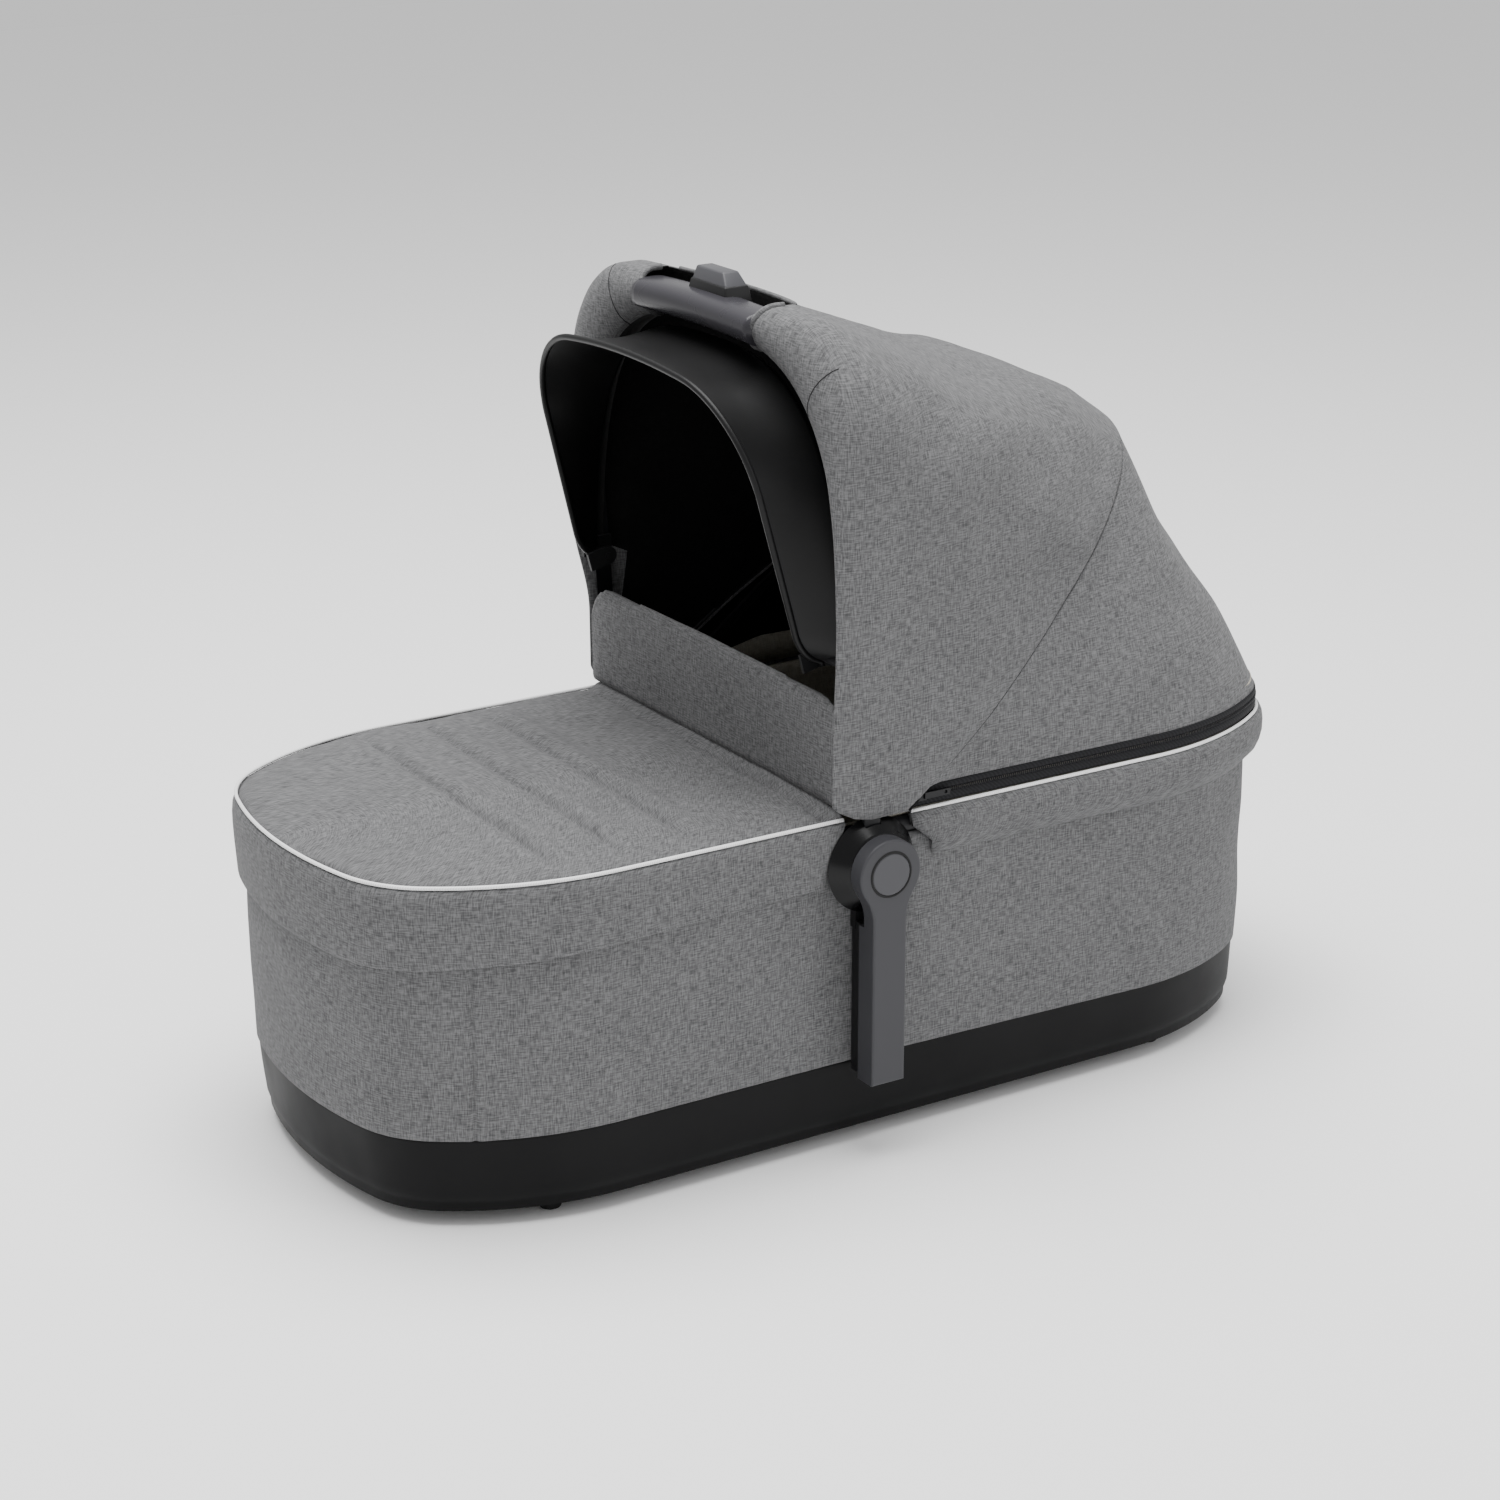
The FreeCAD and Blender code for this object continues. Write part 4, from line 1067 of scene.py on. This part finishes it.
HOOD_INSIDE = (0.05, 0, 0.38)
hood_front = join("hood_front_cloth", [front_panel] + sleeves)
outward_sheet(hood_front, HOOD_INSIDE)
thicken(hood_front, 1.2 * MM, inside=hood_black)
box_uv(hood_front)
HEM_TOP, HEM_ROWS = 0.385, 17                # low down, the outer cloth turns in as a wide hem
half_panels = (panel_rows[:PANEL_ROWS, :COLUMNS // 2], panel_rows[:PANEL_ROWS, :COLUMNS // 2:-1])
hem_sides = {bool(half[0, 0, 1] > 0): half for half in half_panels}
for face in hood_front.data.polygons:
    from_middle = Vector((0, face.center.y, face.center.z - 0.40))
    if face.center.x > -0.050 and face.center.z > HEM_TOP and face.normal.dot(from_middle) < 0:
        face.material_index = 1
    elif face.material_index == 1:
        side = hem_sides[face.center.y > 0]
        back, top = side[HEM_ROWS], side[:, int(np.argmax(side[0, :, 2] > HEM_TOP))]
        if (face.center.x < np.interp(face.center.z, back[:, 2], back[:, 0])
                and face.center.z < np.interp(face.center.x, top[:, 0], top[:, 2])):
            face.material_index = 0
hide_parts("hood_front_panel", "hood_sleeve_left", "hood_sleeve_right")
hood_blend(hood_front)

# Thin near-black cords along each sleeve's closing seam: painted shadow in the seam line.
seam_shadow_black = moulded_plastic("painted_seam_shadow", "202021", 0.8, grain=0.5 * MM, depth=0.3)
SLEEVE_ENDS = (("left", left_columns[-1], 0.128), ("right", right_columns[0], -0.163))
for side, cuff_column, seam_y in SLEEVE_ENDS:
    cuff = cord_piece(f"sleeve_cuff_{side}", sleeve_rows[1:-1, cuff_column], 2.6 * MM, grey_melange)
    finish(cuff, "front_bow", "grey_fabric")
    column = min((c for c in range(COLUMNS) if sleeve_rows[7][c, 2] > 0.5),
                 key=lambda c: abs(sleeve_rows[7][c, 1] - seam_y))       # the sleeve's closing seam
    seam_shadow_line = cord_piece(f"sleeve_seam_shadow_{side}", sleeve_rows[2:13, column], 0.45 * MM, seam_shadow_black, 6)
    finish(seam_shadow_line, "front_bow", "grey_fabric")
slot_path = [point for point in start if abs(point[1]) < SLOT_HALF and point[2] > 0.5]
slot_hem = cord_piece("grip_slot_hem", slot_path, 1.7 * MM, grey_melange)
finish(slot_hem, "front_bow", "grey_fabric")

BOW_LEAN = math.radians(3.49)
bow_line = arch(hoop(base_y=0.1955, base_z=0.236, centre_y=0.118, corner=0.080, top=0.627))
inward = np.array([(0.0, 0.45)]) - bow_line
inward /= np.linalg.norm(inward, axis=1, keepdims=True)
bow_rows = []
for across, through in ((-7, -2.2), (7, -2.2), (7, 2.2), (-7, 2.2), (-7, -2.2)):      # mm, a flat bar
    line = bow_line - inward * through * MM
    x = HUB.x - (line[:, 1] - HUB.z) * math.tan(BOW_LEAN) + across * MM
    bow_rows.append(np.column_stack([x, line]))
bow = closed_mesh("front_bow_bar", bow_rows, black_anodised)
bow.data.shade_flat()
finish(bow, "front_bow", "aluminium_tube", "front_bow")

# ---- hood: rear panel ----
# The same melange over black lining. The rear sheet runs from the seam over the middle bow down
# to the upper zip tape round the head end.

zip_line = even_steps(half_loop(grown(PIPING, -1.2 * MM), 1, 0.0095, 0.2838), COLUMNS)
REAR_ROWS = 60
rear_rows = np.array([seam * (1 - s) + zip_line * s for s in np.linspace(0, 1, REAR_ROWS + 1)])


def rear_shape(r, c, point):
    s = r / REAR_ROWS
    crest = math.sin(across_hood[c])
    bulge = 5 * MM * math.sin(math.pi * s ** 1.9) * crest - 2 * MM * math.sin(math.pi * s) * crest
    calm = min(1.0, s * 8) * min(1.0, (1 - s) * 8)
    cloth = ripple(point, 0.10, 4.5 * MM, 12.0) + ripple(point, 0.05, 3.4 * MM, 15.0)
    return bulge + cloth * calm * crest


rear_rows = push_out(rear_rows, rear_shape, (20, COLUMNS // 2), (1, 0, 0))
shoulder = rear_rows[1] * 0.35 + seam * 0.65
rear_rows = np.vstack([[seam_inside], [seam_dip], [shoulder], rear_rows[1:]])
rear_panel = sheet_mesh("hood_rear_cloth", rear_rows, grey_melange)
outward_sheet(rear_panel, HOOD_INSIDE)
thicken(rear_panel, 1.2 * MM, inside=hood_black)
box_uv(rear_panel)
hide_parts("hood_rear_panel")
hood_blend(rear_panel)

# ---- visor ----
# Black coated satin on a sprung wire hoop, piped round its front edge. It is slung inside the
# front of the hood and flips back under it.

VISOR_PIVOT = Vector((-0.050, 0, 0.392))
VISOR_LEAN = math.radians(14.6)
# Coated polyester satin: a fine diagonal twill and a soft broad highlight.
visor_satin = ribbed_cloth("black_coated_satin", 0.42, "090909", "101011", 8 * MM, 0.8, 1.2, 0.12,
                           0.1 * MM, cloud=30.0, Specular_IOR_Level=0.22)


def leaned(points):
    """Turns points about the visor's pivot by its lean towards the foot."""
    points = np.asarray(points, float).copy()
    x, z = points[:, 0] - VISOR_PIVOT.x, points[:, 2] - VISOR_PIVOT.z
    points[:, 0] = VISOR_PIVOT.x + x * math.cos(VISOR_LEAN) - z * math.sin(VISOR_LEAN)
    points[:, 2] = VISOR_PIVOT.z + z * math.cos(VISOR_LEAN) + x * math.sin(VISOR_LEAN)
    return points


wire_hoop = hoop(base_y=0.166, base_z=VISOR_PIVOT.z - 2 * MM, centre_y=0.074, corner=0.086,
                 top=VISOR_PIVOT.z + 0.2175, crown=0.7)
visor_front = leaned(arch(wire_hoop, VISOR_PIVOT.x - 0.018))
visor_front[:, 1] += 3 * MM                  # it hangs a little to the left
corner = np.clip((VISOR_PIVOT.z + 0.020 - visor_front[:, 2]) / 0.022, 0, 1)
visor_front[:, 0] += 0.016 * (1 - np.sqrt(1 - corner ** 2))
back_half = superellipse(half=0.186, base_z=0.345, rise=0.257, power=2.9, leg_z=0.345)
visor_back = arch(back_half[back_half[:, 1] > 0.384], -0.046)
VISOR_ROWS = 26
visor_rows = np.array([visor_front * (1 - s) + visor_back * s for s in np.linspace(0, 1, VISOR_ROWS + 1)])


def visor_shape(r, c, point):
    s = r / VISOR_ROWS
    crest = math.sin(across_hood[c])
    return math.sin(math.pi * s) * (-4.5 * MM * crest + ripple(point, 0.05, 1.0 * MM, 21.0))


visor_rows = push_out(visor_rows, visor_shape, (10, COLUMNS // 2), (0, 0, 1))
visor = sheet_mesh("visor_satin_sheet", visor_rows, visor_satin)
outward_sheet(visor, (-0.08, 0, 0.42))
thicken(visor, 1.0 * MM)
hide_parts("visor_fabric")
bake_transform(visor)
visor_edge = cord_piece("visor_edge_piping", visor_front, 2.6 * MM, visor_satin)
finish(visor_edge, "visor", "black_fabric", "visor_wire")

# ---- carry grip ----
# Two moulded shells clamp the front bow: a smooth crowned bar with a raised saddle for the push
# button. Fabric cuffs finish the sleeves beside it.

grip_grey = moulded_plastic("satin_grey_nylon_grip", "2e2d31", 0.28, depth=0.04)
GRIP_CROWN = 0.9                             # radius of the bow's slight crown


def grip_ring(y):
    """Cross-section of the grip at y: a rounded rectangle that follows the crown of the bow."""
    centre_z = 0.6235 - 0.5 * (GRIP_CROWN - math.sqrt(GRIP_CROWN ** 2 - y ** 2))
    ring = []
    for k in range(32):
        angle = 2 * math.pi * k / 32
        c, s = math.cos(angle), math.sin(angle)
        ring.append((-0.0495 + 0.0185 * math.copysign(abs(c) ** 0.72, c), y,
                     centre_z + 0.0122 * math.copysign(abs(s) ** 0.72, s)))
    return ring


grip_rows = [grip_ring(y) for y in np.linspace(-GRIP_HALF - 4 * MM, GRIP_HALF + 4 * MM, 41)]
grip = closed_mesh("grip_shell", grip_rows, grip_grey, close=True)
finish(grip, "front_bow", "grey_plastic", "handle_grip_lower")


def tapered_block(name, low, high, high_inset, material, bevel):
    """A block whose sides lean in towards the top, with rounded edges."""
    corners = []
    for z, (x_in, y_near, y_far) in ((low[2], (0, 0, 0)), (high[2], high_inset)):
        corners += [(low[0] + x_in, low[1] + y_near, z), (high[0] - x_in, low[1] + y_near, z),
                    (high[0] - x_in, high[1] - y_far, z), (low[0] + x_in, high[1] - y_far, z)]
    sides = [(k, (k + 1) % 4, (k + 1) % 4 + 4, k + 4) for k in range(4)]
    mesh = bpy.data.meshes.new(name)
    mesh.from_pydata(corners, [], [(3, 2, 1, 0), (4, 5, 6, 7)] + sides)
    mesh.materials.append(material)
    made = add_object(name, mesh)
    soft = made.modifiers.new("soft edges", "BEVEL")
    soft.width, soft.segments = bevel, 4
    settle(made)
    made.data.shade_smooth()
    return made


saddle = tapered_block("grip_saddle", (-0.0515, -0.0290, 0.628), (-0.0265, 0.0290, 0.6425),
                       (2 * MM, 4 * MM, 4 * MM), black_nylon, 1.6 * MM)
finish(saddle, "front_bow", "grey_plastic", "handle_grip_upper")
push_button = tapered_block("grip_push_button", (-0.0490, -0.0250, 0.6415), (-0.0290, 0.0240, 0.6520),
                            (3 * MM, 9 * MM, 2 * MM), button_grey, 1.6 * MM)
finish(push_button, "handle_button", "button_plastic", "handle_button")

# ---- camera, light and floor ----
# A long lens from the foot end's right, a pale floor, and broad soft lights.

floor_material, floor_tree, floor_shader = start_material("pale_floor", 0.9)
floor_shader.inputs["Base Color"].default_value = linear("fafafa")
bpy.ops.mesh.primitive_plane_add(size=14, location=(0, 0, 0))
floor = bpy.context.object
floor.name = "studio_floor"
floor.data.materials.append(floor_material)

AZIMUTH, ELEVATION, DISTANCE = math.radians(-32.06), math.radians(19.53), 2.5894
TARGET = Vector((0, 0, 0.250))
away = Vector((math.sin(AZIMUTH) * math.cos(ELEVATION), -math.cos(AZIMUTH) * math.cos(ELEVATION),
               math.sin(ELEVATION)))
camera = add_object("camera", bpy.data.cameras.new("camera"))
camera.location = TARGET + away * DISTANCE
camera.rotation_euler = (-away).to_track_quat("-Z", "Y").to_euler()
camera.data.lens = 77.92
camera.data.sensor_width = 36.0
camera.data.shift_x, camera.data.shift_y = -0.0090, 0.0093
bpy.context.scene.camera = camera

world = bpy.data.worlds.new("studio")
world.use_nodes = True
sky = world.node_tree.nodes["Background"].inputs
sky["Color"].default_value, sky["Strength"].default_value = (1, 1, 1, 1), 0.78
bpy.context.scene.world = world


def soft_light(name, place, size, power):
    lamp = bpy.data.lights.new(name, "AREA")
    lamp.shape, lamp.size, lamp.energy = "SQUARE", size, power
    made = add_object(name, lamp)
    made.location = place
    made.rotation_euler = (Vector((0, 0, 0.3)) - Vector(place)).to_track_quat("-Z", "Y").to_euler()


soft_light("overhead", (-0.2, 0.1, 3.0), 2.4, 175)
soft_light("side_fill", (1.6, -2.6, 1.5), 2.0, 18)
